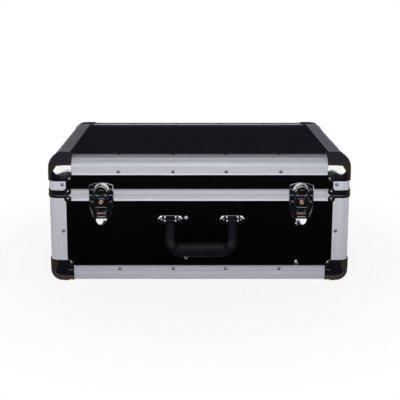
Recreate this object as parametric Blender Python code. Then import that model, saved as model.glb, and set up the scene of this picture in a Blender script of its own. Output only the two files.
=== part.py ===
"""Flight case for lighting fixtures: laminated panels held in rounded double-angle
aluminium rails, chrome corners, a hinged lid, two key-locking draw latches and a
drop handle. Metres, +Z up, front towards -Y, origin under the middle of the whole."""

import math

import bmesh
import bpy
from mathutils import Matrix, Vector

# Overall size, over the outer faces of the rails, and the height over the corners
WIDTH = 0.515
DEPTH = 0.354
HEIGHT = 0.2242
LID_HEIGHT = 0.0667
PARTING_HEIGHT = HEIGHT - LID_HEIGHT

# Clearances
GAP = 0.0003
PARTING_GAP = 0.0003
RUNNING_GAP = 0.0004
TONGUE_CLEARANCE = 0.0006

# Rails: a rounded outer skin, with a slot for the panel on each side of the edge
RAIL_FACE = 0.030
RAIL_WALL = 0.0018
EDGE_RADIUS = 0.016
SLOT_FLANGE = 0.024
SLOT_WALL = 0.0015
ARC_STEPS = 5

# Panels, and the board on the floor that carries the dividers
PANEL = 0.007
BOARD = 0.006
BOARD_MARGIN = 0.003

# Rims on either side of the parting line
RIM_FACE = 0.010
BASE_RIM_WEB = 0.002
LID_RIM_WEB = 0.0045
TONGUE_DEPTH_IN = 0.0040
TONGUE_WALL = 0.0020
TONGUE_HEIGHT = 0.0025
INNER_FLANGE_SHARE = 0.8

# Chrome corners and the brackets beside the parting line
CORNER_WALL = 0.0014
CORNER_REACH = 0.041
CORNER_NOSE = 0.008
CORNER_NOSE_STEPS = 3
CORNER_CUT_REACH = CORNER_REACH * 1.3
BRACKET_WALL = 0.0012
BRACKET_EAR_IN = 0.0334
BRACKET_EAR_RADIUS = 0.0062
LID_BAND_HEIGHT = 0.0085
BASE_BAND_HEIGHT = 0.0050

# Dividers, each behind its column of front screws
DIVIDER = 0.009
DIVIDER_TOP = PARTING_HEIGHT - 0.0155
DIVIDER_PLACES = (-0.023, WIDTH / 2 - 0.090)

# The fittings sit a little right of the middle
FITTING_OFFSET = 0.003

# Hinge along the back
HINGE_LENGTH = WIDTH - 2 * 0.0575
HINGE_KNUCKLES = 9
HINGE_KNUCKLE_RADIUS = 0.0034
HINGE_PIN_RADIUS = 0.0016
HINGE_LEAF_WALL = 0.0012
HINGE_LEAF_HEIGHT = 0.0090
HINGE_AXIS_OUT = 0.0040
HINGE_LEAF_OVERLAP = 0.0003
HINGE_TAB_START = HINGE_KNUCKLE_RADIUS / 3
HINGE_SIDES = 12

# Draw latches. Their heights are measured from the parting line
LATCH_SPREAD = WIDTH - 2 * 0.0875
LATCH_WIDTH = 0.042
LATCH_PLATE = 0.0015
LATCH_TOP = PARTING_HEIGHT + 0.0225
LATCH_SHOULDER = 0.0046
LATCH_BOTTOM = PARTING_HEIGHT - 0.0415
LATCH_FOOT_WIDTH = 0.030
LATCH_TAPER_START = PARTING_HEIGHT - 0.0205
LEVER_PIVOT_HEIGHT = PARTING_HEIGHT - 0.0197
LEVER_PIVOT_OUT = 0.0048
LATCH_THROW = 0.0115
LATCH_PIN_RADIUS = 0.0010
LATCH_PIN_SIDES = 10
LEVER_CHEEK = 0.0016
LEVER_WIDTH = 0.0180
LEVER_CHEEK_HALF = 0.0020
TAB_START = 0.0190
TAB_END = 0.0275
TAB_OUT = 0.0022
TAB_WALL = 0.0016
LUG_WALL = 0.0016
HASP_OUT = 0.0024
HASP_WALL = 0.0020
HASP_WIDTH = 0.0258
HASP_TOP = PARTING_HEIGHT + 0.0196
HASP_BOTTOM = PARTING_HEIGHT - 0.0216
HASP_ARM_WIDTH = 0.0022
HASP_ARM_SPREAD = 0.0104
HASP_EYE_RADIUS = 0.0026
HASP_ARM_BACK = 0.0018
WINDOW_WIDTH = 0.0176
WINDOW_BOTTOM = PARTING_HEIGHT - 0.0001
WINDOW_TOP = PARTING_HEIGHT + 0.0118
CATCH_WIDTH = 0.0130
CATCH_BOTTOM = PARTING_HEIGHT + 0.0013
CATCH_TOP = PARTING_HEIGHT + 0.0090
CATCH_CLEARANCE = 0.0006
CATCH_OUT = LEVER_PIVOT_OUT + HASP_OUT - CATCH_CLEARANCE
KEY_HEIGHT = PARTING_HEIGHT - 0.0100
KEY_RADIUS = 0.0039
KEY_LENGTH = 0.0056
KEY_HOUSING = 0.0120
KEY_HOUSING_OUT = 0.0012
KEYWAY = (0.0011, 0.0048)

# Handle and its two brackets
HANDLE_PIVOT_HEIGHT = PARTING_HEIGHT - 0.0435
HANDLE_PIVOT_OUT = 0.0080
HANDLE_BRACKET_SPREAD = 0.106
HANDLE_BRACKET_WIDTH = 0.045
HANDLE_BRACKET_HEIGHT = 0.014
HANDLE_BRACKET_WALL = 0.0016
HANDLE_LUG_WALL = 0.0018
HANDLE_PIN_RADIUS = 0.0020
HANDLE_BARREL_RADIUS = 0.0050
HANDLE_LEG_WIDTH = 0.016
HANDLE_LEG_THICK = 0.009
HANDLE_GRIP_HEIGHT = 0.027
HANDLE_GRIP_THICK = 0.020
HANDLE_DROP = 0.0492
HANDLE_BEND_RADIUS = 0.014
HANDLE_GRIP_OUT = 0.0030
HANDLE_LUG_HALF = 0.0045
HANDLE_BEND_GROWTH = 0.48
HANDLE_SQUARENESS = 0.8
LOFT_SIDES = 12

# Places worked out from the sizes above
CORNER_PROUD = CORNER_WALL + GAP
BOTTOM = CORNER_PROUD
TOP = HEIGHT - CORNER_PROUD
SKIN = RAIL_WALL + GAP
PANEL_INNER = SKIN + PANEL
SLOT_INNER = PANEL_INNER + GAP
RIM_INNER = SLOT_INNER + SLOT_WALL
PANEL_EDGE = EDGE_RADIUS + GAP
BASE_RIM_TOP = PARTING_HEIGHT - PARTING_GAP / 2
LID_RIM_BOTTOM = PARTING_HEIGHT + PARTING_GAP / 2
FRONT = -DEPTH / 2
BACK = DEPTH / 2
PANEL_FRONT = FRONT + SKIN
FRONT_REACH = DEPTH / 2 - SKIN + HANDLE_PIVOT_OUT + HANDLE_GRIP_OUT + HANDLE_GRIP_THICK / 2
BACK_REACH = DEPTH / 2 + HINGE_AXIS_OUT + HINGE_KNUCKLE_RADIUS
SETBACK = (FRONT_REACH - BACK_REACH) / 2

# Turns a flat outline drawn in XY to stand in the model and face the front
FACING_FRONT = Matrix(((1, 0, 0), (0, 0, -1), (0, 1, 0))).to_4x4()


def clear_scene():
    """Remove every object, so that the script starts from an empty scene."""
    for item in list(bpy.data.objects):
        bpy.data.objects.remove(item, do_unlink=True)


def make_collection(name):
    """A collection linked to the scene."""
    collection = bpy.data.collections.new(name)
    bpy.context.scene.collection.children.link(collection)
    return collection


def make_material(name, colour, roughness, metallic):
    """A Principled material."""
    material = bpy.data.materials.new(name)
    material.use_nodes = True
    shader = material.node_tree.nodes["Principled BSDF"]
    shader.inputs["Base Color"].default_value = (*colour, 1.0)
    shader.inputs["Roughness"].default_value = roughness
    shader.inputs["Metallic"].default_value = metallic
    return material


def object_from(name, mesh, material, place=(0, 0, 0), parent=None, round_angle=None):
    """Link a mesh as a named sub-part. Its place is in the model's own frame."""
    item = bpy.data.objects.new(name, mesh)
    PARTS.objects.link(item)
    mesh.materials.clear()
    mesh.materials.append(material)
    item.location = Vector(place)
    if parent is not None:
        item.parent = parent
        item.location = Vector(place) - parent.location
    if round_angle is not None:
        mesh.shade_smooth()
        mesh.set_sharp_from_angle(angle=math.radians(round_angle))
    return item


def make_axis(name, place):
    """An empty on a joint's axis, which the moving pieces hang from."""
    empty = bpy.data.objects.new(name, None)
    empty.empty_display_size = 0.02
    PARTS.objects.link(empty)
    empty.location = Vector(place)
    return empty


def finish_mesh(bm, name):
    """Turn a bmesh into a mesh with its faces pointing out."""
    bmesh.ops.remove_doubles(bm, verts=bm.verts, dist=0.000001)
    bmesh.ops.recalc_face_normals(bm, faces=bm.faces)
    mesh = bpy.data.meshes.new(name)
    bm.to_mesh(mesh)
    bm.free()
    return mesh


def box_bmesh(low, high):
    """A box between two corners."""
    low = Vector(low)
    high = Vector(high)
    size = high - low
    matrix = Matrix.Translation((low + high) / 2) @ Matrix.Diagonal((*size, 1.0))
    bm = bmesh.new()
    bmesh.ops.create_cube(bm, size=1.0, matrix=matrix)
    return bm


def box_mesh(low, high, name="box"):
    """A box between two corners, as a mesh."""
    return finish_mesh(box_bmesh(low, high), name)


def boxes_mesh(boxes, name="boxes"):
    """Several boxes in one mesh, for use as the second shape of a Boolean."""
    bm = bmesh.new()
    for low, high in boxes:
        piece = box_mesh(low, high)
        bm.from_mesh(piece)
        bpy.data.meshes.remove(piece)
    return finish_mesh(bm, name)


def cylinder_mesh(start, end, radius, sides=16, name="cylinder"):
    """A cylinder between two points."""
    start = Vector(start)
    end = Vector(end)
    along = end - start
    turn = along.to_track_quat("Z", "Y").to_matrix().to_4x4()
    bm = bmesh.new()
    bmesh.ops.create_cone(
        bm,
        cap_ends=True,
        segments=sides,
        radius1=radius,
        radius2=radius,
        depth=along.length,
        matrix=Matrix.Translation((start + end) / 2) @ turn,
    )
    return finish_mesh(bm, name)


def outline_mesh(outlines, thickness, matrix, name="outline"):
    """A flat outline, with any holes, drawn in XY and thickened from z = 0 to z = thickness."""
    curve = bpy.data.curves.new(name, "CURVE")
    curve.dimensions = "2D"
    curve.fill_mode = "BOTH"
    curve.extrude = thickness / 2
    for points in outlines:
        spline = curve.splines.new("POLY")
        spline.points.add(len(points) - 1)
        for point, (x, y) in zip(spline.points, points):
            point.co = (x, y, 0, 1)
        spline.use_cyclic_u = True
    item = bpy.data.objects.new(name, curve)
    bpy.context.scene.collection.objects.link(item)
    depsgraph = bpy.context.evaluated_depsgraph_get()
    flat = bpy.data.meshes.new_from_object(item.evaluated_get(depsgraph))
    bpy.data.objects.remove(item, do_unlink=True)
    bpy.data.curves.remove(curve)
    flat.transform(matrix @ Matrix.Translation((0, 0, thickness / 2)))
    bm = bmesh.new()
    bm.from_mesh(flat)
    bpy.data.meshes.remove(flat)
    return finish_mesh(bm, name)


def arc(centre, radius, start, end, steps=ARC_STEPS):
    """Points on an arc, with its angles in degrees."""
    points = []
    for step in range(steps + 1):
        angle = math.radians(start + (end - start) * step / steps)
        points.append((centre[0] + radius * math.cos(angle), centre[1] + radius * math.sin(angle)))
    return points


def rounded_rectangle(half_x, half_y, radius, steps=ARC_STEPS):
    """A rectangle about the origin with round corners."""
    points = []
    for sign_x, sign_y, start in ((1, 1, 0), (-1, 1, 90), (-1, -1, 180), (1, -1, 270)):
        centre = (sign_x * (half_x - radius), sign_y * (half_y - radius))
        points += arc(centre, radius, start, start + 90, steps)
    return points


def combine(mesh, other, operation):
    """Join, cut or intersect two closed meshes, and return the result as a mesh."""
    first = bpy.data.objects.new("first_shape", mesh)
    second = bpy.data.objects.new("second_shape", other)
    CUTTERS.objects.link(first)
    CUTTERS.objects.link(second)
    modifier = first.modifiers.new("combine", "BOOLEAN")
    modifier.operation = operation
    modifier.solver = "EXACT"
    modifier.object = second
    depsgraph = bpy.context.evaluated_depsgraph_get()
    result = bpy.data.meshes.new_from_object(first.evaluated_get(depsgraph))
    bpy.data.objects.remove(first, do_unlink=True)
    bpy.data.objects.remove(second, do_unlink=True)
    bpy.data.meshes.remove(mesh)
    bpy.data.meshes.remove(other)
    return result


def union(mesh, *others):
    """Join closed meshes that overlap into one body."""
    for other in others:
        mesh = combine(mesh, other, "UNION")
    return mesh


def cut(mesh, *others):
    """Cut closed meshes out of a mesh."""
    for other in others:
        mesh = combine(mesh, other, "DIFFERENCE")
    return mesh


def slice_away(mesh, point, normal):
    """Keep the side of a plane that its normal points away from, and close the cut."""
    bm = bmesh.new()
    bm.from_mesh(mesh)
    bpy.data.meshes.remove(mesh)
    everything = bm.verts[:] + bm.edges[:] + bm.faces[:]
    result = bmesh.ops.bisect_plane(
        bm, geom=everything, plane_co=point, plane_no=normal, clear_outer=True, dist=0.0000001
    )
    rim = [edge for edge in result["geom_cut"] if isinstance(edge, bmesh.types.BMEdge)]
    bmesh.ops.triangle_fill(bm, edges=rim, use_beauty=True)
    return finish_mesh(bm, "sliced")


def placed_copy(mesh, matrix, name):
    """A copy of a mesh in another place, whose faces still point out when it is mirrored."""
    copy = mesh.copy()
    copy.name = name
    copy.transform(matrix)
    if matrix.determinant() < 0:
        copy.flip_normals()
    return copy


def basis(origin, x_direction, y_direction, z_direction):
    """The matrix that takes a local frame to a place with these directions."""
    columns = (Vector(x_direction), Vector(y_direction), Vector(z_direction))
    turn = Matrix([[column[row] for column in columns] for row in range(3)])
    return Matrix.Translation(Vector(origin)) @ turn.to_4x4()


def rail_outline():
    """The double-angle section, with the case's outer edge at the origin."""
    inner_radius = EDGE_RADIUS - RAIL_WALL
    lean = math.degrees(math.asin(RAIL_WALL / inner_radius))
    centre = (EDGE_RADIUS, EDGE_RADIUS)
    points = [(RAIL_FACE, 0)]
    points += arc(centre, EDGE_RADIUS, 270, 180)
    points += [
        (0, RAIL_FACE),
        (RAIL_WALL, RAIL_FACE),
        (RAIL_WALL, EDGE_RADIUS),
        (SLOT_INNER, EDGE_RADIUS),
        (SLOT_INNER, SLOT_FLANGE),
        (RIM_INNER, SLOT_FLANGE),
        (RIM_INNER, inner_radius),
    ]
    points += arc(centre, inner_radius, 180 + lean, 270 - lean)
    points += [
        (inner_radius, RIM_INNER),
        (SLOT_FLANGE, RIM_INNER),
        (SLOT_FLANGE, SLOT_INNER),
        (EDGE_RADIUS, SLOT_INNER),
        (EDGE_RADIUS, RAIL_WALL),
        (RAIL_FACE, RAIL_WALL),
    ]
    return points


def rail_mesh(length, end_mitred):
    """A rail along local z, mitred for its two neighbours at a corner of the case."""
    start = PANEL_EDGE + GAP
    end = length - start if end_mitred else length
    mesh = outline_mesh([rail_outline()], end - start, Matrix.Translation((0, 0, start)), "rail")
    mesh = slice_away(mesh, (0, 0, GAP), (1, 0, -1))
    mesh = slice_away(mesh, (0, 0, GAP), (0, 1, -1))
    if end_mitred:
        mesh = slice_away(mesh, (0, 0, length - GAP), (1, 0, 1))
        mesh = slice_away(mesh, (0, 0, length - GAP), (0, 1, 1))
    return mesh


def make_rails(material, lid_axis):
    """Eight long rails round the floor and the lid, and eight upright ones."""
    x_low, y_low = -WIDTH / 2, -DEPTH / 2
    long_rail = rail_mesh(WIDTH, True)
    side_rail = rail_mesh(DEPTH, True)
    base_upright = rail_mesh(BASE_RIM_TOP - BASE_RIM_WEB - GAP - BOTTOM, False)
    lid_upright = rail_mesh(TOP - LID_RIM_BOTTOM - LID_RIM_WEB - GAP, False)
    levels = (("base_bottom", BOTTOM, 1, None), ("lid_top", TOP, -1, lid_axis))
    for level, height, up, parent in levels:
        for side, sign in (("front", 1), ("back", -1)):
            corner = (x_low, sign * y_low, height)
            matrix = basis(corner, (0, sign, 0), (0, 0, up), (1, 0, 0))
            name = f"{level}_rail_{side}"
            add_moved(name, placed_copy(long_rail, matrix, name), material, parent)
        for side, sign in (("left", 1), ("right", -1)):
            corner = (sign * x_low, y_low, height)
            matrix = basis(corner, (sign, 0, 0), (0, 0, up), (0, 1, 0))
            name = f"{level}_rail_{side}"
            add_moved(name, placed_copy(side_rail, matrix, name), material, parent)
    uprights = (("base", base_upright, BOTTOM, 1, None), ("lid", lid_upright, TOP, -1, lid_axis))
    for part, upright, height, up, parent in uprights:
        for place, sign_x, sign_y in corner_places():
            corner = (sign_x * x_low, sign_y * y_low, height)
            matrix = basis(corner, (sign_x, 0, 0), (0, sign_y, 0), (0, 0, up))
            name = f"{part}_upright_rail_{place}"
            add_moved(name, placed_copy(upright, matrix, name), material, parent)


def corner_places():
    """The four upright edges, with the inward directions along X and Y."""
    for depth_name, sign_y in (("front", 1), ("back", -1)):
        for width_name, sign_x in (("left", 1), ("right", -1)):
            yield f"{depth_name}_{width_name}", sign_x, sign_y


def add_moved(name, mesh, material, parent, round_angle=35):
    """Add a mesh drawn in the model's frame, hung from its axis if it moves."""
    if parent is not None:
        mesh.transform(Matrix.Translation(-parent.location))
        item = object_from(name, mesh, material, parent.location, parent, round_angle)
    else:
        item = object_from(name, mesh, material, round_angle=round_angle)
    return item


def make_panels(material, lid_axis):
    """Five laminated panels for the base and five for the lid."""
    half_x = WIDTH / 2 - PANEL_EDGE
    half_y = DEPTH / 2 - PANEL_EDGE
    base_top = BASE_RIM_TOP - BASE_RIM_WEB - GAP
    lid_bottom = LID_RIM_BOTTOM + LID_RIM_WEB + GAP
    sheets = (
        ("base_floor_panel", BOTTOM + SKIN, BOTTOM + SKIN + PANEL, None),
        ("lid_top_panel", TOP - SKIN - PANEL, TOP - SKIN, lid_axis),
    )
    for name, low, high, parent in sheets:
        mesh = box_mesh((-half_x, -half_y, low), (half_x, half_y, high))
        add_moved(name, mesh, material, parent, None)
    walls = (
        ("base", BOTTOM + PANEL_EDGE, base_top, None),
        ("lid", lid_bottom, TOP - PANEL_EDGE, lid_axis),
    )
    for part, low, high, parent in walls:
        for side, sign in (("front", -1), ("back", 1)):
            outer = sign * (DEPTH / 2 - SKIN)
            inner = sign * (DEPTH / 2 - PANEL_INNER)
            y_low, y_high = sorted((outer, inner))
            mesh = box_mesh((-half_x, y_low, low), (half_x, y_high, high))
            add_moved(f"{part}_{side}_panel", mesh, material, parent, None)
        for side, sign in (("left", -1), ("right", 1)):
            outer = sign * (WIDTH / 2 - SKIN)
            inner = sign * (WIDTH / 2 - PANEL_INNER)
            x_low, x_high = sorted((outer, inner))
            mesh = box_mesh((x_low, -half_y, low), (x_high, half_y, high))
            add_moved(f"{part}_{side}_panel", mesh, material, parent, None)


def ring_mesh(outer_in, inner_in, low, high):
    """A level ring between two distances in from the rails' outer faces."""
    outlines = []
    for distance in (outer_in, inner_in):
        radius = EDGE_RADIUS - distance
        outlines.append(rounded_rectangle(WIDTH / 2 - distance, DEPTH / 2 - distance, radius))
    return outline_mesh(outlines, high - low, Matrix.Translation((0, 0, low)), "ring")


def rim_flanges(near, far):
    """The rim's outer and inner flanges along the four sides, which hold the panels' edges.

    near is the height inside the web where a flange starts, and far is where it ends."""
    low, high = sorted((near, far))
    inner_far = near + (far - near) * INNER_FLANGE_SHARE
    inner_low, inner_high = sorted((near, inner_far))
    outer_end = RAIL_FACE + GAP
    inner_end = SLOT_FLANGE + GAP
    boxes = []
    for sign in (-1, 1):
        for inward, thick, end, bottom, top in (
            (0, RAIL_WALL, outer_end, low, high),
            (SLOT_INNER, SLOT_WALL, inner_end, inner_low, inner_high),
        ):
            reach_x = WIDTH / 2 - end
            reach_y = DEPTH / 2 - end
            y_low, y_high = sorted((sign * (DEPTH / 2 - inward), sign * (DEPTH / 2 - inward - thick)))
            x_low, x_high = sorted((sign * (WIDTH / 2 - inward), sign * (WIDTH / 2 - inward - thick)))
            boxes.append(((-reach_x, y_low, bottom), (reach_x, y_high, top)))
            boxes.append(((x_low, -reach_y, bottom), (x_high, reach_y, top)))
    return boxes_mesh(boxes)


def make_rims(material, lid_axis):
    """The rim frames that meet at the parting line, with a tongue below and a groove above."""
    web_low = BASE_RIM_TOP - BASE_RIM_WEB
    base = ring_mesh(0, RIM_INNER, web_low, BASE_RIM_TOP)
    base = union(base, rim_flanges(web_low + BASE_RIM_WEB / 2, BASE_RIM_TOP - RIM_FACE))
    tongue_far = TONGUE_DEPTH_IN + TONGUE_WALL
    tongue_top = BASE_RIM_TOP + TONGUE_HEIGHT
    base = union(base, ring_mesh(TONGUE_DEPTH_IN, tongue_far, web_low + BASE_RIM_WEB / 2, tongue_top))
    object_from("base_rim_frame", base, material, round_angle=35)
    web_high = LID_RIM_BOTTOM + LID_RIM_WEB
    lid = ring_mesh(0, RIM_INNER, LID_RIM_BOTTOM, web_high)
    lid = union(lid, rim_flanges(web_high - BASE_RIM_WEB / 2, LID_RIM_BOTTOM + RIM_FACE))
    groove_near = TONGUE_DEPTH_IN - TONGUE_CLEARANCE
    groove_far = tongue_far + TONGUE_CLEARANCE
    groove_low = LID_RIM_BOTTOM - TONGUE_HEIGHT
    groove_high = tongue_top + TONGUE_CLEARANCE
    lid = cut(lid, ring_mesh(groove_near, groove_far, groove_low, groove_high))
    add_moved("lid_rim_frame", lid, material, lid_axis)


def bevelled_corner_box(low, high, edge_radius, nose_radius, steps):
    """A cube whose three edges at the low corner are rounded, and the far upright edges too."""
    bm = box_bmesh((low, low, low), (high, high, high))
    near, far = [], []
    for edge in bm.edges:
        values = [(edge.verts[0].co[axis], edge.verts[1].co[axis]) for axis in range(3)]
        across = [pair[0] for pair in values if abs(pair[0] - pair[1]) < GAP / 10]
        if max(across) - low < GAP / 10:
            near.append(edge)
        elif high - min(across) < GAP / 10 and nose_radius:
            far.append(edge)
    bmesh.ops.bevel(
        bm, geom=near, offset=edge_radius, segments=steps, profile=0.5, affect="EDGES", clamp_overlap=False
    )
    if nose_radius:
        far = [edge for edge in far if edge.is_valid]
        bmesh.ops.bevel(
            bm, geom=far, offset=nose_radius, segments=CORNER_NOSE_STEPS, profile=0.5, affect="EDGES"
        )
    return finish_mesh(bm, "corner_box")


def make_corners(material, lid_axis):
    """Eight pressed chrome corners over the ends of the rails."""
    radius = EDGE_RADIUS + CORNER_PROUD
    outer = bevelled_corner_box(-CORNER_PROUD, CORNER_REACH, radius, CORNER_NOSE, ARC_STEPS)
    inner = bevelled_corner_box(-GAP, CORNER_CUT_REACH, EDGE_RADIUS + GAP, 0, ARC_STEPS)
    corner = cut(outer, inner)
    for part, height, up, parent in (("base", BOTTOM, 1, None), ("lid", TOP, -1, lid_axis)):
        for place, sign_x, sign_y in corner_places():
            origin = (-sign_x * WIDTH / 2, -sign_y * DEPTH / 2, height)
            matrix = basis(origin, (sign_x, 0, 0), (0, sign_y, 0), (0, 0, up))
            name = f"{part}_corner_{place}"
            add_moved(name, placed_copy(corner, matrix, name), material, parent)


def bracket_mesh(band_height):
    """A chrome band round an upright edge, standing on z = 0, with a round ear on each face."""
    outer = -GAP - BRACKET_WALL
    inner = -GAP
    centre = (EDGE_RADIUS, EDGE_RADIUS)
    ear = BRACKET_EAR_IN
    section = [(ear, outer)]
    section += arc(centre, EDGE_RADIUS - outer, 270, 180)
    section += [(outer, ear), (inner, ear)]
    section += arc(centre, EDGE_RADIUS - inner, 180, 270)
    section += [(ear, inner)]
    mesh = outline_mesh([section], band_height, Matrix.Identity(4), "bracket")
    height = BRACKET_EAR_RADIUS
    across_y = cylinder_mesh((ear, outer, height), (ear, inner, height), BRACKET_EAR_RADIUS)
    across_x = cylinder_mesh((outer, ear, height), (inner, ear, height), BRACKET_EAR_RADIUS)
    return union(mesh, across_y, across_x)


def make_brackets(material, lid_axis):
    """The bracket bands on either side of the parting line, at the four upright edges."""
    base_band = bracket_mesh(BASE_BAND_HEIGHT)
    lid_band = bracket_mesh(LID_BAND_HEIGHT)
    bands = (("base", base_band, BASE_RIM_TOP, -1, None), ("lid", lid_band, LID_RIM_BOTTOM, 1, lid_axis))
    for part, band, height, up, parent in bands:
        for place, sign_x, sign_y in corner_places():
            origin = (-sign_x * WIDTH / 2, -sign_y * DEPTH / 2, height)
            matrix = basis(origin, (sign_x, 0, 0), (0, sign_y, 0), (0, 0, up))
            name = f"{part}_bracket_{place}"
            add_moved(name, placed_copy(band, matrix, name), material, parent)


def make_insert(material):
    """The divider insert: a floor board on the rails' inner flanges, with two dividers."""
    reach_x = WIDTH / 2 - RIM_INNER - BOARD_MARGIN
    reach_y = DEPTH / 2 - RIM_INNER - GAP
    low = BOTTOM + RIM_INNER + GAP
    high = low + BOARD
    mesh = box_mesh((-reach_x, -reach_y, low), (reach_x, reach_y, high))
    for place in DIVIDER_PLACES:
        divider = box_mesh(
            (place - DIVIDER / 2, -reach_y + GAP, high - BOARD / 2),
            (place + DIVIDER / 2, reach_y - GAP, DIVIDER_TOP),
        )
        mesh = union(mesh, divider)
    object_from("divider_insert", mesh, material)


def make_hinge(material, lid_axis):
    """The back hinge: two leaves on the rims, with knuckles in turn round one pin."""
    axis_y = BACK + HINGE_AXIS_OUT
    axis_z = PARTING_HEIGHT
    pitch = HINGE_LENGTH / HINGE_KNUCKLES
    leaf_low_y = BACK + GAP
    leaf_high_y = leaf_low_y + HINGE_LEAF_WALL
    clear = HINGE_KNUCKLE_RADIUS - HINGE_LEAF_OVERLAP
    left = -HINGE_LENGTH / 2
    leaves = []
    for first, up in ((0, -1), (1, 1)):
        z_near, z_far = sorted((axis_z + up * clear, axis_z + up * HINGE_LEAF_HEIGHT))
        leaf = box_mesh((left, leaf_low_y, z_near), (-left, leaf_high_y, z_far))
        for number in range(first, HINGE_KNUCKLES, 2):
            start = left + number * pitch + RUNNING_GAP / 2
            end = left + (number + 1) * pitch - RUNNING_GAP / 2
            low, high = sorted((axis_z + up * HINGE_TAB_START, axis_z + up * (clear + HINGE_LEAF_WALL)))
            tab = box_mesh((start, leaf_low_y, low), (end, leaf_high_y, high))
            knuckle = cylinder_mesh(
                (start, axis_y, axis_z), (end, axis_y, axis_z), HINGE_KNUCKLE_RADIUS, HINGE_SIDES
            )
            leaf = union(leaf, union(knuckle, tab))
        leaves.append(leaf)
    inset = RUNNING_GAP
    pin_start, pin_end = (left + inset, axis_y, axis_z), (-left - inset, axis_y, axis_z)
    pin = cylinder_mesh(pin_start, pin_end, HINGE_PIN_RADIUS, HINGE_SIDES)
    bore_radius = HINGE_PIN_RADIUS + RUNNING_GAP
    bore = cylinder_mesh((left, axis_y, axis_z), (-left, axis_y, axis_z), bore_radius, HINGE_SIDES)
    object_from("hinge_base_leaf", union(leaves[0], pin), material, round_angle=35)
    add_moved("hinge_lid_leaf", cut(leaves[1], bore), material, lid_axis)


def front_plate(outlines, out, wall):
    """A plate facing the front, whose back is at a distance out from the rails' faces."""
    return outline_mesh(outlines, wall, Matrix.Translation((0, FRONT - out, 0)) @ FACING_FRONT, "plate")


def side_plate(outline, x_low, x_high, pivot_out, pivot_height):
    """A plate across X. Its outline is drawn as (outwards, upwards) from a pivot."""
    pivot = (x_low, FRONT - pivot_out, pivot_height)
    matrix = basis(pivot, (0, -1, 0), (0, 0, 1), (1, 0, 0))
    return outline_mesh([outline], x_high - x_low, matrix, "side_plate")


def make_catch(side, centre, material, lid_axis):
    """The latch's plate on the lid, with an arched top and the catch in its middle."""
    half = LATCH_WIDTH / 2
    shoulder = LATCH_TOP - LATCH_SHOULDER
    arch_radius = (half**2 + LATCH_SHOULDER**2) / (2 * LATCH_SHOULDER)
    lean = math.degrees(math.asin(half / arch_radius))
    outline = [(half, LID_RIM_BOTTOM + GAP)]
    outline += arc((0, LATCH_TOP - arch_radius), arch_radius, 90 - lean, 90 + lean, 6)
    outline += [(-half, LID_RIM_BOTTOM + GAP)]
    outline[1] = (half, shoulder)
    outline[-2] = (-half, shoulder)
    plate = front_plate([outline], GAP, LATCH_PLATE)
    catch_start = FRONT - GAP - LATCH_PLATE / 2
    catch = box_mesh(
        (-CATCH_WIDTH / 2, FRONT - CATCH_OUT, CATCH_BOTTOM), (CATCH_WIDTH / 2, catch_start, CATCH_TOP)
    )
    mesh = union(plate, catch)
    mesh.transform(Matrix.Translation((centre, 0, 0)))
    add_moved(f"latch_catch_plate_{side}", mesh, material, lid_axis)


def make_latch_base(side, centre, material):
    """The latch's plate on the base, with two lugs that hold the lever's pivot pin."""
    half = LATCH_WIDTH / 2
    foot = LATCH_FOOT_WIDTH / 2
    corner = (half - foot) / 2
    top = BASE_RIM_TOP - GAP
    outline = [
        (half, top),
        (-half, top),
        (-half, LATCH_TAPER_START),
        (-foot, LATCH_BOTTOM + corner),
        (-foot + corner, LATCH_BOTTOM),
        (foot - corner, LATCH_BOTTOM),
        (foot, LATCH_BOTTOM + corner),
        (half, LATCH_TAPER_START),
    ]
    mesh = front_plate([outline], GAP, LATCH_PLATE)
    lug_inner = LEVER_WIDTH / 2 + RUNNING_GAP
    lug_outer = lug_inner + LUG_WALL
    lug_half = LEVER_CHEEK_HALF
    plate_reach = LEVER_PIVOT_OUT - GAP - LATCH_PLATE / 2
    outline = arc((0, 0), lug_half, -90, 90, 6) + [(-plate_reach, lug_half), (-plate_reach, -lug_half)]
    for low, high in ((-lug_outer, -lug_inner), (lug_inner, lug_outer)):
        mesh = union(mesh, side_plate(outline, low, high, LEVER_PIVOT_OUT, LEVER_PIVOT_HEIGHT))
    pivot = Vector((0, FRONT - LEVER_PIVOT_OUT, LEVER_PIVOT_HEIGHT))
    reach = Vector((lug_inner + LUG_WALL / 2, 0, 0))
    mesh = union(mesh, cylinder_mesh(pivot - reach, pivot + reach, LATCH_PIN_RADIUS, LATCH_PIN_SIDES))
    mesh.transform(Matrix.Translation((centre, 0, 0)))
    object_from(f"latch_base_plate_{side}", mesh, material, round_angle=35)


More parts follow.
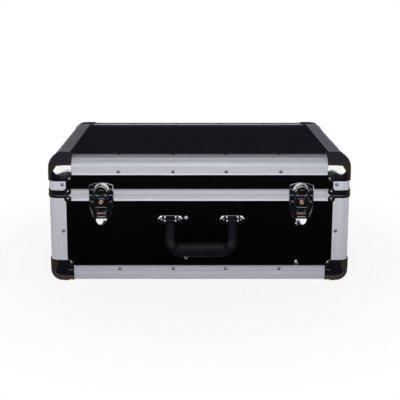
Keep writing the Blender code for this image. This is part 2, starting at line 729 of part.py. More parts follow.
def make_lever(side, centre, material):
    """The lever: two cheeks on the pivot pin, the hasp's bar between them and a finger tab."""
    half = LEVER_WIDTH / 2
    wall = LEVER_CHEEK_HALF
    cheek_end = -(TAB_START + TAB_WALL)
    cheek = arc((0, 0), wall, 0, 180, 6) + [(-wall, cheek_end), (wall, cheek_end)]
    tab = [
        (TAB_OUT - TAB_WALL, -TAB_START),
        (TAB_OUT, -TAB_START),
        (TAB_OUT + TAB_WALL * 2, -TAB_END),
        (TAB_OUT + TAB_WALL, -TAB_END),
    ]
    mesh = side_plate(tab, -half, half, LEVER_PIVOT_OUT, LEVER_PIVOT_HEIGHT)
    nose = LEVER_PIVOT_HEIGHT - TAB_END
    shape = [(half, LEVER_PIVOT_HEIGHT), (-half, LEVER_PIVOT_HEIGHT)]
    shape += arc((0, nose + half), half, 180, 360, 10)
    mesh = combine(mesh, front_plate([shape], -GAP, LEVER_PIVOT_OUT * 4), "INTERSECT")
    for low, high in ((-half, -half + LEVER_CHEEK), (half - LEVER_CHEEK, half)):
        mesh = union(mesh, side_plate(cheek, low, high, LEVER_PIVOT_OUT, LEVER_PIVOT_HEIGHT))
    pivot = Vector((0, FRONT - LEVER_PIVOT_OUT, LEVER_PIVOT_HEIGHT))
    across = Vector((1, 0, 0))
    bore_radius = LATCH_PIN_RADIUS + GAP
    bore_reach = across * half * 2
    bore = cylinder_mesh(pivot - bore_reach, pivot + bore_reach, bore_radius, LATCH_PIN_SIDES)
    mesh = cut(mesh, bore)
    bar = pivot - Vector((0, 0, LATCH_THROW))
    bar_reach = across * (half - LEVER_CHEEK / 2)
    mesh = union(mesh, cylinder_mesh(bar - bar_reach, bar + bar_reach, LATCH_PIN_RADIUS, LATCH_PIN_SIDES))
    place = pivot + across * centre
    axis = make_axis(f"lever_axis_{side}", place)
    mesh.transform(Matrix.Translation((centre, 0, 0)))
    add_moved(f"latch_lever_{side}", mesh, material, axis)


def hasp_outline():
    """The hasp's arched cover, seen from the front."""
    half = HASP_WIDTH / 2
    corner = HASP_WIDTH / 6
    outline = arc((0, HASP_TOP - half), half, 0, 180, 12)
    outline += arc((corner - half, HASP_BOTTOM + corner), corner, 180, 270, 3)
    outline += arc((half - corner, HASP_BOTTOM + corner), corner, 270, 360, 3)
    return outline


def window_outline():
    """The arched window in the hasp, over the catch."""
    half = WINDOW_WIDTH / 2
    return [(-half, WINDOW_BOTTOM), (half, WINDOW_BOTTOM)] + arc((0, WINDOW_TOP - half), half, 0, 180, 10)


def make_hasp(side, centre, material):
    """The hasp: an arched cover that hooks over the catch, with arms to the lever's bar."""
    hole = arc((0, KEY_HEIGHT), KEY_RADIUS + GAP, 0, 337.5, 15)
    cover_out = LEVER_PIVOT_OUT + HASP_OUT
    mesh = front_plate([hasp_outline(), window_outline(), hole], cover_out, HASP_WALL)
    half = KEY_HOUSING / 2
    square = [(x, KEY_HEIGHT + z) for x, z in ((half, half), (-half, half), (-half, -half), (half, -half))]
    housing_start = cover_out + HASP_WALL / 2
    mesh = union(mesh, front_plate([square, hole], housing_start, HASP_WALL / 2 + KEY_HOUSING_OUT))
    bar_height = LEVER_PIVOT_HEIGHT - LATCH_THROW
    climb = HASP_BOTTOM - bar_height
    near = HASP_OUT
    far = HASP_OUT + HASP_ARM_BACK
    arm = [
        (-HASP_EYE_RADIUS * 0.6, HASP_EYE_RADIUS * 0.6),
        (HASP_EYE_RADIUS * 0.9, 0),
        (far, climb - HASP_EYE_RADIUS),
        (far, climb + HASP_EYE_RADIUS),
        (near + HASP_WALL - HASP_ARM_BACK, climb + HASP_EYE_RADIUS),
        (near, climb - HASP_EYE_RADIUS / 2),
    ]
    eye = arc((0, 0), HASP_EYE_RADIUS, 0, 330, 11)
    for sign in (-1, 1):
        middle = sign * HASP_ARM_SPREAD / 2
        low = middle - HASP_ARM_WIDTH / 2
        high = middle + HASP_ARM_WIDTH / 2
        mesh = union(
            mesh,
            side_plate(arm, low + GAP, high - GAP, LEVER_PIVOT_OUT, bar_height),
            side_plate(eye, low, high, LEVER_PIVOT_OUT, bar_height),
        )
    bar = Vector((0, FRONT - LEVER_PIVOT_OUT, bar_height))
    across = Vector((HASP_WIDTH, 0, 0))
    mesh = cut(mesh, cylinder_mesh(bar - across, bar + across, LATCH_PIN_RADIUS + GAP, LATCH_PIN_SIDES))
    axis = make_axis(f"hasp_axis_{side}", bar + Vector((centre, 0, 0)))
    mesh.transform(Matrix.Translation((centre, 0, 0)))
    add_moved(f"latch_hasp_{side}", mesh, material, axis)


def make_key_plug(side, centre, material):
    """The lock's round plug, with its keyway, in the hasp's housing."""
    face = LEVER_PIVOT_OUT + HASP_OUT + HASP_WALL + KEY_HOUSING_OUT + GAP
    front = Vector((centre, FRONT - face, KEY_HEIGHT))
    back = front + Vector((0, KEY_LENGTH, 0))
    plug = cylinder_mesh(back, front, KEY_RADIUS, 16)
    half_width, half_height = KEYWAY[0] / 2, KEYWAY[1] / 2
    keyway = box_mesh(
        (centre - half_width, front.y - KEY_LENGTH, KEY_HEIGHT - half_height),
        (centre + half_width, front.y + KEY_LENGTH / 2, KEY_HEIGHT + half_height),
    )
    axis = make_axis(f"key_axis_{side}", front)
    add_moved(f"latch_key_plug_{side}", cut(plug, keyway), material, axis)


def make_handle_brackets(material):
    """Two chrome brackets on the front panel, each with two lugs and the handle's pin."""
    pivot_out = HANDLE_PIVOT_OUT - SKIN
    back_out = GAP - SKIN
    round_end = HANDLE_BRACKET_HEIGHT / 2
    pad = rounded_rectangle(HANDLE_BRACKET_WIDTH / 2, round_end, round_end * 0.98, 4)
    pad = [(x, z + HANDLE_PIVOT_HEIGHT) for x, z in pad]
    inner = HANDLE_LEG_WIDTH / 2 + RUNNING_GAP
    outer = inner + HANDLE_LUG_WALL
    reach = HANDLE_PIVOT_OUT - GAP - HANDLE_BRACKET_WALL / 2
    lug = arc((0, 0), HANDLE_LUG_HALF, -90, 90, 6) + [(-reach, HANDLE_LUG_HALF), (-reach, -HANDLE_LUG_HALF)]
    for side, sign in (("left", -1), ("right", 1)):
        mesh = front_plate([pad], back_out, HANDLE_BRACKET_WALL)
        for low, high in ((-outer, -inner), (inner, outer)):
            mesh = union(mesh, side_plate(lug, low, high, pivot_out, HANDLE_PIVOT_HEIGHT))
        pivot = Vector((0, FRONT - pivot_out, HANDLE_PIVOT_HEIGHT))
        across = Vector((inner + HANDLE_LUG_WALL / 2, 0, 0))
        mesh = union(mesh, cylinder_mesh(pivot - across, pivot + across, HANDLE_PIN_RADIUS, 12))
        centre = FITTING_OFFSET + sign * HANDLE_BRACKET_SPREAD / 2
        mesh.transform(Matrix.Translation((centre, 0, 0)))
        object_from(f"handle_bracket_{side}", mesh, material, round_angle=35)


def handle_stations():
    """Centre, direction, width and thickness of the handle along its path, from left to right."""
    leg_x = HANDLE_BRACKET_SPREAD / 2
    bend = HANDLE_BEND_RADIUS
    straight = HANDLE_DROP - bend
    stations = []
    for share in (0.05, 0.35, 0.7, 1.0):
        stations.append((-leg_x, -straight * share, -90, 0.0))
    for step in (1, 2, 3):
        angle = 180 + 90 * step / 4
        x = -leg_x + bend + bend * math.cos(math.radians(angle))
        z = -straight + bend * math.sin(math.radians(angle))
        stations.append((x, z, angle - 270, HANDLE_BEND_GROWTH * step / 4))
    grip_half = leg_x - bend
    for share in (-1.0, -0.88, -0.5, 0.0, 0.5, 0.88, 1.0):
        crown = 0.5 if abs(share) == 1.0 else 1.0 - 0.12 * share**2
        stations.append((share * grip_half, -HANDLE_DROP, 0, crown))
    for x, z, angle, share in reversed(stations[:7]):
        stations.append((-x, z, -angle, share))
    return stations


def make_handle(material):
    """The drop handle: two legs and a bulged grip in one moulding, with a barrel on each pin."""
    bm = bmesh.new()
    rings = []
    for x, z, angle, share in handle_stations():
        width = HANDLE_LEG_WIDTH + (HANDLE_GRIP_HEIGHT - HANDLE_LEG_WIDTH) * share
        thick = HANDLE_LEG_THICK + (HANDLE_GRIP_THICK - HANDLE_LEG_THICK) * share
        out = HANDLE_GRIP_OUT * share
        turn = math.radians(angle)
        ring = []
        for side in range(LOFT_SIDES):
            around = math.tau * side / LOFT_SIDES
            across = width / 2 * math.copysign(abs(math.cos(around)) ** HANDLE_SQUARENESS, math.cos(around))
            outward = thick / 2 * math.copysign(abs(math.sin(around)) ** HANDLE_SQUARENESS, math.sin(around))
            point = (x - across * math.sin(turn), -out - outward, z + across * math.cos(turn))
            ring.append(bm.verts.new(point))
        rings.append(ring)
    for first, second in zip(rings, rings[1:]):
        for side in range(LOFT_SIDES):
            following = (side + 1) % LOFT_SIDES
            bm.faces.new((first[side], first[following], second[following], second[side]))
    bm.faces.new(rings[0])
    bm.faces.new(rings[-1])
    mesh = finish_mesh(bm, "handle")
    half = HANDLE_LEG_WIDTH / 2
    for sign in (-1, 1):
        middle = sign * HANDLE_BRACKET_SPREAD / 2
        start, end = (middle - half, 0, 0), (middle + half, 0, 0)
        mesh = union(mesh, cylinder_mesh(start, end, HANDLE_BARREL_RADIUS))
        start, end = (middle - 2 * half, 0, 0), (middle + 2 * half, 0, 0)
        mesh = cut(mesh, cylinder_mesh(start, end, HANDLE_PIN_RADIUS + GAP, 12))
    pivot = (FITTING_OFFSET, PANEL_FRONT - HANDLE_PIVOT_OUT, HANDLE_PIVOT_HEIGHT)
    axis = make_axis("handle_axis", pivot)
    object_from("handle", mesh, material, pivot, axis, 50)


def main():
    """Make the materials, then every sub-part."""
    aluminium = make_material("satin_aluminium", (0.72, 0.72, 0.76), 0.32, 1.0)
    chrome = make_material("chrome", (0.80, 0.80, 0.82), 0.08, 1.0)
    laminate = make_material("black_laminate", (0.012, 0.012, 0.016), 0.42, 0.0)
    plastic = make_material("handle_plastic", (0.045, 0.045, 0.055), 0.50, 0.0)
    brass = make_material("lock_brass", (0.72, 0.52, 0.30), 0.25, 1.0)
    steel = make_material("hinge_steel", (0.60, 0.60, 0.62), 0.30, 1.0)
    board = make_material("divider_board", (0.020, 0.020, 0.022), 0.80, 0.0)
    lid_axis = make_axis("lid_axis", (0, BACK + HINGE_AXIS_OUT, PARTING_HEIGHT))
    make_panels(laminate, lid_axis)
    make_rails(aluminium, lid_axis)
    make_rims(aluminium, lid_axis)
    make_corners(chrome, lid_axis)
    make_brackets(chrome, lid_axis)
    make_insert(board)
    make_hinge(steel, lid_axis)
    for side, sign in (("left", -1), ("right", 1)):
        centre = FITTING_OFFSET + sign * LATCH_SPREAD / 2
        make_catch(side, centre, chrome, lid_axis)
        make_latch_base(side, centre, chrome)
        make_lever(side, centre, chrome)
        make_hasp(side, centre, chrome)
        make_key_plug(side, centre, brass)
    make_handle_brackets(chrome)
    make_handle(plastic)
    for item in PARTS.objects:
        if item.parent is None:
            item.location.y += SETBACK


clear_scene()
PARTS = make_collection("lighting_fixture_flight_case")
CUTTERS = make_collection("cutters")
CUTTERS.hide_render = True
main()
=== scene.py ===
import math

import bmesh
import bpy
from mathutils import Matrix, Vector


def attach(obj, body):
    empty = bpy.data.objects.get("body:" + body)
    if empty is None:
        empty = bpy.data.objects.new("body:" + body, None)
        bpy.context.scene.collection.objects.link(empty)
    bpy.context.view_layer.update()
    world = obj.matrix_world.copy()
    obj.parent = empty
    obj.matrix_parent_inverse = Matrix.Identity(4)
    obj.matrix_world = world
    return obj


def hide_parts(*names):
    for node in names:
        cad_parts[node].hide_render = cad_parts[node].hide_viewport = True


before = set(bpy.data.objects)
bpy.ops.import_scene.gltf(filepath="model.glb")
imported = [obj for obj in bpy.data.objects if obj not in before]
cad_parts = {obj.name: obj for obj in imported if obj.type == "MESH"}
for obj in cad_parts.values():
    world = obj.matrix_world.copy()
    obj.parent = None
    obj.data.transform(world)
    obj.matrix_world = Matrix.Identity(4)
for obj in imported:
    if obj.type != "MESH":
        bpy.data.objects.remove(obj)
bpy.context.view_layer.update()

# Sizes of the case, in the row frame
LEFT, RIGHT = -0.2575, 0.2575
FRONT, BACK = -0.17125, 0.18275
BOTTOM, TOP = 0.0017, 0.2225
WIDTH, DEPTH = RIGHT - LEFT, BACK - FRONT
PARTING = 0.1575
PARTING_GAP = 0.0003
BASE_RIM_TOP = PARTING - PARTING_GAP / 2
LID_RIM_BOTTOM = PARTING + PARTING_GAP / 2
GAP = 0.0003
FITTING_OFFSET = 0.003

# Rails
RAIL_FACE = 0.030
RAIL_WALL = 0.0018
EDGE_RADIUS = 0.016
PANEL_EDGE = EDGE_RADIUS + GAP
SLOT_FLANGE = 0.024
SLOT_WALL = 0.0015
SKIN = RAIL_WALL + GAP
PANEL = 0.007
SLOT_INNER = SKIN + PANEL + GAP
RIM_INNER = SLOT_INNER + SLOT_WALL
FLUTE_PITCH = 0.0034
FLUTE_DEPTH = 0.00042
FLUTE_CROWN = 0.00016
FLUTE_GROOVE = 0.0010

# Rims
RIM_FACE = 0.010
BASE_RIM_WEB = 0.002
LID_RIM_WEB = 0.0045
TONGUE_DEPTH_IN = 0.0040
TONGUE_WALL = 0.0020
TONGUE_HEIGHT = 0.0025
TONGUE_CLEARANCE = 0.0006
INNER_FLANGE_SHARE = 0.8

# Corners and brackets
CORNER_WALL = 0.0014
CORNER_PROUD = CORNER_WALL + GAP
CORNER_REACH = 0.041
CORNER_NOSE = 0.009
CORNER_SPARE = 0.002
HOLLOW_SHARE = 1.2
BALL_REACH = 0.0285
BALL_SHARE = 1.4
NET_FINE, NET_COARSE, NET_HALVINGS = 14, 7, 26
BRACKET_WALL = 0.0012
EAR_IN = 0.0334
EAR_RADIUS = 0.0062
LID_BAND = 0.0085
BASE_BAND = 0.0050
LIP_RADIUS = 0.0007

# Latches
LATCH_PLACES = {"left": FITTING_OFFSET - 0.170, "right": FITTING_OFFSET + 0.170}
LATCH_WIDTH = 0.042
LATCH_PLATE = 0.0015
LATCH_TOP = 0.180
LATCH_SHOULDER = 0.0046
LATCH_BOTTOM = 0.116
LATCH_FOOT = 0.030
LATCH_TAPER = 0.137
PIVOT_Z = 0.1378
PIVOT_OUT = 0.0048
THROW = 0.0115
PIN_RADIUS = 0.0010
LEVER_WIDTH = 0.018
CHEEK = 0.0016
CHEEK_HALF = 0.0020
TAB_START = 0.0190
TAB_END = 0.0297
TAB_OUT = 0.0022
TAB_WALL = 0.0011
TAB_FLARE = 0.0034
TAB_DISH = 0.0003
LUG_WALL = 0.0016
HASP_OUT = 0.0024
HASP_WALL = 0.0020
HASP_WIDTH = 0.0258
HASP_TOP = 0.1771
HASP_BOTTOM = 0.1359
ARM_WIDTH = 0.0010
ARM_SPREAD = 0.0138
EYE_RADIUS = 0.0017
WINDOW_WIDTH = 0.0176
WINDOW_BOTTOM = 0.1574
WINDOW_TOP = 0.1693
CATCH_WIDTH = 0.013
CATCH_LOW = 0.1588
CATCH_HIGH = 0.1665
CATCH_OUT = 0.0066
KEY_Z = 0.1475
KEY_RADIUS = 0.0039
KEY_LENGTH = 0.0056
KEY_HOUSING = 0.0120
KEY_HOUSING_OUT = 0.0012
HOUSING_STEP = 0.0004
KEYWAY = (0.0011, 0.0048)
RUNNING_GAP = 0.0004

# Handle
HANDLE_Z = 0.1140
HANDLE_OUT = 0.0080
HANDLE_SPREAD = 0.106
BRACKET_WIDTH = 0.045
BRACKET_HEIGHT = 0.014
HANDLE_PLATE = 0.0016
HANDLE_LUG = 0.0018
HANDLE_PIN = 0.0020
BARREL_RADIUS = 0.0050
LEG_WIDTH, LEG_THICK = 0.016, 0.009
GRIP_HEIGHT, GRIP_THICK = 0.027, 0.020
HANDLE_DROP = 0.0492
HANDLE_BEND = 0.014
GRIP_OUT = 0.0030

FACING_FRONT = Matrix(((1, 0, 0), (0, 0, -1), (0, 1, 0))).to_4x4()
SIDES = {"front": (0, -1, 0), "back": (0, 1, 0), "left": (-1, 0, 0), "right": (1, 0, 0)}
EDGES = (("base", BOTTOM, 1), ("lid", TOP, -1))
MIDDLE_Y = (FRONT + BACK) / 2

# Rivets, screws and nibs. A head is (radius, height), and its profile is shares of these.
RIVET, FACE_RIVET, PLATE_RIVET, HINGE_RIVET = (0.0029, 0.0013), (0.0029, 0.0010), (0.0025, 0.0016), (0.0018, 0.0008)
PANEL_SCREW, BRACKET_SCREW = (0.0042, 0.0011), (0.0027, 0.0014)
RIVET_PROFILE = ((1.0, 0.0), (1.0, 0.12), (0.95, 0.24), (0.60, 0.62), (0.26, 0.93), (0.13, 0.985), (0.0, 1.0))
SCREW_PROFILE = ((1.0, 0.0), (1.0, 0.3), (0.8, 0.75), (0.4, 1.0), (0.0, 1.0))
RECESS_ARM, RECESS_WIDE, RECESS_FLOOR = 0.55, 0.13, 0.25
RIVET_IN = 0.0245
RAIL_RIVETS_X = (-0.1375, -0.0450, 0.0450, 0.1375)
RAIL_RIVETS_Y = (-0.105, -0.035, 0.035, 0.105)
UPRIGHT_RIVET_Z = {"base": 0.094, "lid": 0.1755}
CORNER_RIVET_IN = 0.0365
FACE_RIVET_SUNK = 0.0011
NIB_PLACES = (0.0315, 0.0390)
NIB_Z = 0.0245
NIB_RADIUS = 0.0010
FRONT_SCREWS = ((-0.023, 0.116), (-0.023, 0.0455), (0.1675, 0.1062), (0.1675, 0.037))
HINGE_RIVETS_X = (-0.185, -0.125, -0.065, 0.0, 0.065, 0.125, 0.185)
HINGE_RIVET_Z = 0.0062
HINGE_LEAF = 0.0012

# Small shapes of the latches and the handle
PLATE_FACE = FRONT - GAP - LATCH_PLATE
PLATE_BEAD = 0.0008
PLATE_RIVET_IN = 0.0054
CATCH_RIVET_Z, BASE_RIVET_Z = 0.1668, 0.1462
BORDER_END = 0.002
BORDER_FOOT = (0.0004, 0.0040)
PIVOT = (0, FRONT - PIVOT_OUT, PIVOT_Z)
BAR_Z = PIVOT_Z - THROW
COVER_OUT = PIVOT_OUT + HASP_OUT
RIDGE_SUNK = 0.0003
RIDGE_HALF, RIDGE_UP, RIDGE_RADIUS = 0.0088, 0.0026, 0.0005
SIDE_RIDGE_X, SIDE_RIDGE_RADIUS = 0.0112, 0.0008
SIDE_RIDGE_ENDS = (WINDOW_BOTTOM - 0.002, HASP_BOTTOM + 0.005)
HOUSING_CORNER = 0.0012
KEY_LIP = KEY_RADIUS * 0.32
DOME_START = WINDOW_BOTTOM - 0.0010
DOME_PROFILE = (
    (0.0129, 0.0028), (0.0131, 0.0050), (0.0129, 0.0072), (0.0124, 0.0088), (0.0116, 0.0099), (0.0107, 0.0103),
    (0.0098, 0.0101), (0.0091, 0.0094), (0.0088, 0.0085), (0.0088, 0.0076), (0.0118, 0.0074), (0.0120, 0.0028),
)
HANDLE_SIDES = 36
HANDLE_ROUNDING = 0.8
LEG_START = 0.05
BEND_SHARE = 0.36
SLEEVE_SHARES = [0.30, 0.56, 0.68, 0.77]
GRIP_PLACES = (-1.0, -0.92, -0.82, -0.68, -0.50, -0.34, -0.17)
GRIP_TAPER = 0.16
RIBS_END, RIBS_EDGE = 0.45, 0.3
RIB_DEPTH = 0.00045
PAD_EYE = (0.0130, 0.0185)
PAD_WAIST = 0.0009
PAD_SCREW_X = 0.0150
PAD_RINGS = ((0, 0), (0, 0.0006), (0.0005, 0.0013), (0.0014, 0.0018), (0.0026, 0.0022), (0.0042, 0.0024))

# Rounded edges
CORNER_BEVEL, CATCH_BEVEL, FITTING_BEVEL, LEVER_BEVEL, PAD_BEVEL = 0.0004, 0.0008, 0.0003, 0.00025, 0.0002
SHARP_ON_BEVELLED = 70

# Stage
WHITE = (1.0, 1.0, 1.0, 1.0)
WORLD_GREY = (0.11, 0.11, 0.125, 1.0)
FLOOR_NEAR, FLOOR_FAR = 0.26, 0.56
FLOOR_GLOW = 0.86
FLOOR_Z = -0.0002
FLOOR_RADIUS = 9.0
CARD_REACH = 2.6
CARD_HEIGHT = 2.8
BACK_LOW = 0.25
FOOT_HEIGHT = 0.0006
FOOT_UNDER = 0.030
FOOT_GAP = -0.006
FOOT_CLOSE = 0.018
FOOT_NEAR = 0.16
FOOT_WIDER = 0.030
FOOT_FRONT = 0.825
FOOT_LEFT, FOOT_RIGHT = -1.50, 1.35
SOFTBOX_LEFT, SOFTBOX_RIGHT = -0.55, 0.60
SOFTBOX_LOW, SOFTBOX_MIDDLE, SOFTBOX_HIGH = 0.14, 1.80, 2.50
SOFTBOX_FADE = 0.06
SOFTBOX_Y = -2.3
STRIP_Y = -2.55
STRIP_HIGH = 0.45
LAMP_AIM = (0.0, 0.0, 0.12)
LAMPS = (
    ("key_lamp", (-0.1, -2.3, 0.65), 2.2, 1.0, 33.0),
    ("top_lamp", (0.0, 0.0, 2.6), 2.4, 2.4, 1.0),
    ("left_lamp", (-2.3, -0.4, 0.4), 1.2, 0.7, 25.0),
    ("right_lamp", (2.3, -0.4, 0.4), 1.2, 0.7, 25.0),
    ("back_lamp", (0.0, 2.3, 0.6), 2.4, 0.8, 26.0),
)
CAMERA_PLACE = (-0.0135, -1.4348, 0.5060)
CAMERA_TILT = 9.83
CAMERA_LENS = 69.02
CAMERA_SHIFT = (0.0210, -0.20)


def finish_mesh(bm):
    """Turn a bmesh into a mesh with its faces pointing out."""
    bmesh.ops.remove_doubles(bm, verts=bm.verts, dist=0.000001)
    bmesh.ops.recalc_face_normals(bm, faces=bm.faces)
    mesh = bpy.data.meshes.new("shape")
    bm.to_mesh(mesh)
    bm.free()
    return mesh


def opened(mesh):
    """A bmesh with what a mesh holds. The mesh goes."""
    bm = bmesh.new()
    bm.from_mesh(mesh)
    bpy.data.meshes.remove(mesh)
    return bm


def add_object(name, data):
    """An object in the scene."""
    item = bpy.data.objects.new(name, data)
    bpy.context.scene.collection.objects.link(item)
    return item


def with_settings(item, **settings):
    """Set something's attributes, and give it back."""
    for name, value in settings.items():
        setattr(item, name, value)
    return item


def baked_mesh(item, *spent):
    """The mesh that an object ends as. It and other spent objects go."""
    mesh = bpy.data.meshes.new_from_object(item.evaluated_get(bpy.context.evaluated_depsgraph_get()))
    for used in (item, *spent):
        bpy.data.objects.remove(used, do_unlink=True)
    return mesh


def facing(point, outward):
    """The matrix that stands a shape on a point, with its z along a direction."""
    turn = Vector(outward).to_track_quat("Z", "Y").to_matrix().to_4x4()
    return Matrix.Translation(Vector(point)) @ turn


def basis(origin, x_direction, y_direction, z_direction):
    """The matrix that takes a local frame to a place with these directions."""
    turn = Matrix((x_direction, y_direction, z_direction)).transposed()
    return Matrix.Translation(Vector(origin)) @ turn.to_4x4()


def placed_copy(mesh, matrix):
    """A copy of a mesh in another place, whose faces still point out when it is mirrored."""
    copy = mesh.copy()
    copy.transform(matrix)
    if matrix.determinant() < 0:
        copy.flip_normals()
    return copy


def shifted(mesh, x, y=0.0, z=0.0):
    """A mesh, moved."""
    mesh.transform(Matrix.Translation((x, y, z)))
    return mesh


def box_mesh(low, high):
    """A box between two corners."""
    low, high = Vector(low), Vector(high)
    bm = bmesh.new()
    matrix = Matrix.Translation((low + high) / 2) @ Matrix.Diagonal((*(high - low), 1.0))
    bmesh.ops.create_cube(bm, size=1.0, matrix=matrix)
    return finish_mesh(bm)


def cylinder_mesh(start, end, radius, sides=24):
    """A cylinder between two points."""
    start, end = Vector(start), Vector(end)
    bm = bmesh.new()
    bmesh.ops.create_cone(
        bm, cap_ends=True, segments=sides, radius1=radius, radius2=radius,
        depth=(end - start).length, matrix=facing((start + end) / 2, end - start),
    )
    return finish_mesh(bm)


def axle_mesh(middle, reach, radius, sides=16):
    """A cylinder along X, as long on either side of its middle."""
    across = Vector((reach, 0, 0))
    return cylinder_mesh(Vector(middle) - across, Vector(middle) + across, radius, sides)


def circle(radius, sides):
    """Points round a circle about the origin."""
    turns = [math.tau * side / sides for side in range(sides)]
    return [(radius * math.cos(turn), radius * math.sin(turn)) for turn in turns]


def loft_mesh(rings):
    """A closed surface through rings of points. A ring of one point is a tip, and other end rings are filled."""
    bm = bmesh.new()
    rings = [[bm.verts.new(point) for point in ring] for ring in rings]
    for first, second in zip(rings, rings[1:]):
        sides = max(len(first), len(second))
        for side in range(sides):
            after = (side + 1) % sides
            corners = [first[side % len(first)], first[after % len(first)],
                       second[after % len(second)], second[side % len(second)]]
            bm.faces.new(list(dict.fromkeys(corners)))
    for ring in (rings[0], rings[-1]):
        if len(ring) > 1:
            bm.faces.new(ring)
    return finish_mesh(bm)


def lathe_mesh(profile, matrix=Matrix.Identity(4), sides=24):
    """A turned shape. The profile is (radius, height) points, closed on the axis at both ends."""
    rings = []
    for radius, height in profile:
        rings.append([matrix @ Vector((x, y, height)) for x, y in circle(radius, sides if radius else 1)])
    return loft_mesh(rings)


def bead_mesh(points, radius, sides=10):
    """A round bead along a run of points."""
    path = [Vector(point) for point in points]
    rings = []
    for index, point in enumerate(path):
        along = path[min(index + 1, len(path) - 1)] - path[max(index - 1, 0)]
        matrix = facing(point, along)
        rings.append([matrix @ Vector((x, y, 0)) for x, y in circle(radius, sides)])
    return loft_mesh(rings)


def outline_mesh(outlines, thickness, matrix=Matrix.Identity(4)):
    """A flat outline, with any holes, drawn in XY and thickened from z = 0 to z = thickness."""
    curve = bpy.data.curves.new("outline", "CURVE")
    with_settings(curve, dimensions="2D", fill_mode="BOTH", extrude=thickness / 2)
    for points in outlines:
        spline = curve.splines.new("POLY")
        spline.points.add(len(points) - 1)
        for point, (x, y) in zip(spline.points, points):
            point.co = (x, y, 0, 1)
        spline.use_cyclic_u = True
    flat = baked_mesh(add_object("outline", curve))
    bpy.data.curves.remove(curve)
    flat.transform(matrix @ Matrix.Translation((0, 0, thickness / 2)))
    return finish_mesh(opened(flat))


def arc(centre, radius, start, end, steps=12):
    """Points on an arc, with its angles in degrees."""
    points = []
    for step in range(steps + 1):
        angle = math.radians(start + (end - start) * step / steps)
        points.append((centre[0] + radius * math.cos(angle), centre[1] + radius * math.sin(angle)))
    return points


def rounded_rectangle(half_x, half_y, radius, steps=12):
    """A rectangle about the origin with round corners."""
    points = []
    for sign_x, sign_y, start in ((1, 1, 0), (-1, 1, 90), (-1, -1, 180), (1, -1, 270)):
        centre = (sign_x * (half_x - radius), sign_y * (half_y - radius))
        points += arc(centre, radius, start, start + 90, steps)
    return points


def combine(mesh, other, operation):
    """Join, cut or intersect two closed meshes."""
    first, second = add_object("first_shape", mesh), add_object("second_shape", other)
    modifier = first.modifiers.new("combine", "BOOLEAN")
    with_settings(modifier, operation=operation, solver="EXACT", object=second)
    result = baked_mesh(first, second)
    bpy.data.meshes.remove(mesh)
    bpy.data.meshes.remove(other)
    return result


def union(mesh, *others):
    """Join closed meshes that overlap into one body."""
    for other in others:
        mesh = combine(mesh, other, "UNION")
    return mesh


def cut(mesh, other):
    """Cut a closed mesh out of another."""
    return combine(mesh, other, "DIFFERENCE")


def gather(meshes):
    """Several meshes as one, without joining their surfaces."""
    bm = bmesh.new()
    for mesh in meshes:
        bm.from_mesh(mesh)
        bpy.data.meshes.remove(mesh)
    return finish_mesh(bm)


def slice_away(mesh, point, normal):
    """Keep the side of a plane that its normal points away from, and close the cut."""
    bm = opened(mesh)
    result = bmesh.ops.bisect_plane(
        bm, geom=bm.verts[:] + bm.edges[:] + bm.faces[:], plane_co=point, plane_no=normal,
        clear_outer=True, dist=0.0000001,
    )
    rim = [edge for edge in result["geom_cut"] if isinstance(edge, bmesh.types.BMEdge)]
    bmesh.ops.triangle_fill(bm, edges=rim, use_beauty=True)
    return finish_mesh(bm)


def add_piece(name, mesh, finish, body, stands_for="", angle=40, bevel=0.0, segments=2, even=False):
    """Put a mesh in the scene as a named piece that rides on a body. finish is its material and a slot name; the slot
    name is not used.
    """
    material, slot = finish
    mesh.name = name
    mesh.materials.clear()
    mesh.materials.append(material)
    mesh.shade_smooth()
    mesh.set_sharp_from_angle(angle=math.radians(SHARP_ON_BEVELLED if bevel else angle))
    item = add_object(name, mesh)
    if bevel:
        with_settings(
            item.modifiers.new("soft_edges", "BEVEL"), width=bevel, segments=segments, limit_method="ANGLE",
            angle_limit=math.radians(angle), use_clamp_overlap=True, harden_normals=True,
        )
    if even:
        with_settings(item.modifiers.new("even_normals", "WEIGHTED_NORMAL"), mode="FACE_AREA", keep_sharp=True)
    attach(item, body)
    if stands_for:
        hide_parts(stands_for)


def add_profile(name, stands_for, mesh, axis, body):
    """A fluted aluminium piece, drawn along an axis, in place of a node."""
    add_piece(name, mesh, ALUMINIUM[axis], body, stands_for, 20, even=True)


def add_fitting(node_name, ending, mesh, body, angle=40, bevel=FITTING_BEVEL):
    """A chrome fitting in place of a node."""
    add_piece(f"{node_name}_{ending}", mesh, FITTING, body, node_name, angle, bevel)


def add_heads(name, mesh, places, body):
    """One piece of several rivet or screw heads."""
    add_piece(name, gather([placed_copy(mesh, facing(*place)) for place in places]), NICKEL, body)


def fill(tree, item, **sockets):
    """Set a node's inputs to values, or join them to other nodes' outputs."""
    for name, value in sockets.items():
        socket = item.inputs[name.replace("_", " ")]
        if isinstance(value, bpy.types.NodeSocket):
            tree.links.new(value, socket)
        else:
            socket.default_value = value


def node(tree, kind, output, **sockets):
    """One output of a new shader node."""
    item = tree.nodes.new(f"ShaderNode{kind}")
    fill(tree, item, **sockets)
    return item.outputs[output]


def noise_from(tree, scale, detail=4.0, rough=0.55, distortion=0.0):
    """Noise in object space. scale is the number of features per metre along each axis."""
    place = node(tree, "Mapping", "Vector", Vector=node(tree, "TexCoord", "Object"), Scale=scale)
    return node(tree, "TexNoise", "Fac", Vector=place, Scale=1.0, Detail=detail, Roughness=rough, Distortion=distortion)


def ramp_from(tree, value, *stops):
    """A colour ramp. Each stop is (position, colour)."""
    ramp = tree.nodes.new("ShaderNodeValToRGB")
    elements = ramp.color_ramp.elements
    while len(elements) < len(stops):
        elements.new(0.5)
    for element, (position, colour) in zip(elements, stops):
        element.position = position
        element.color = (*colour, 1.0)
    fill(tree, ramp, Fac=value)
    return ramp.outputs["Color"]


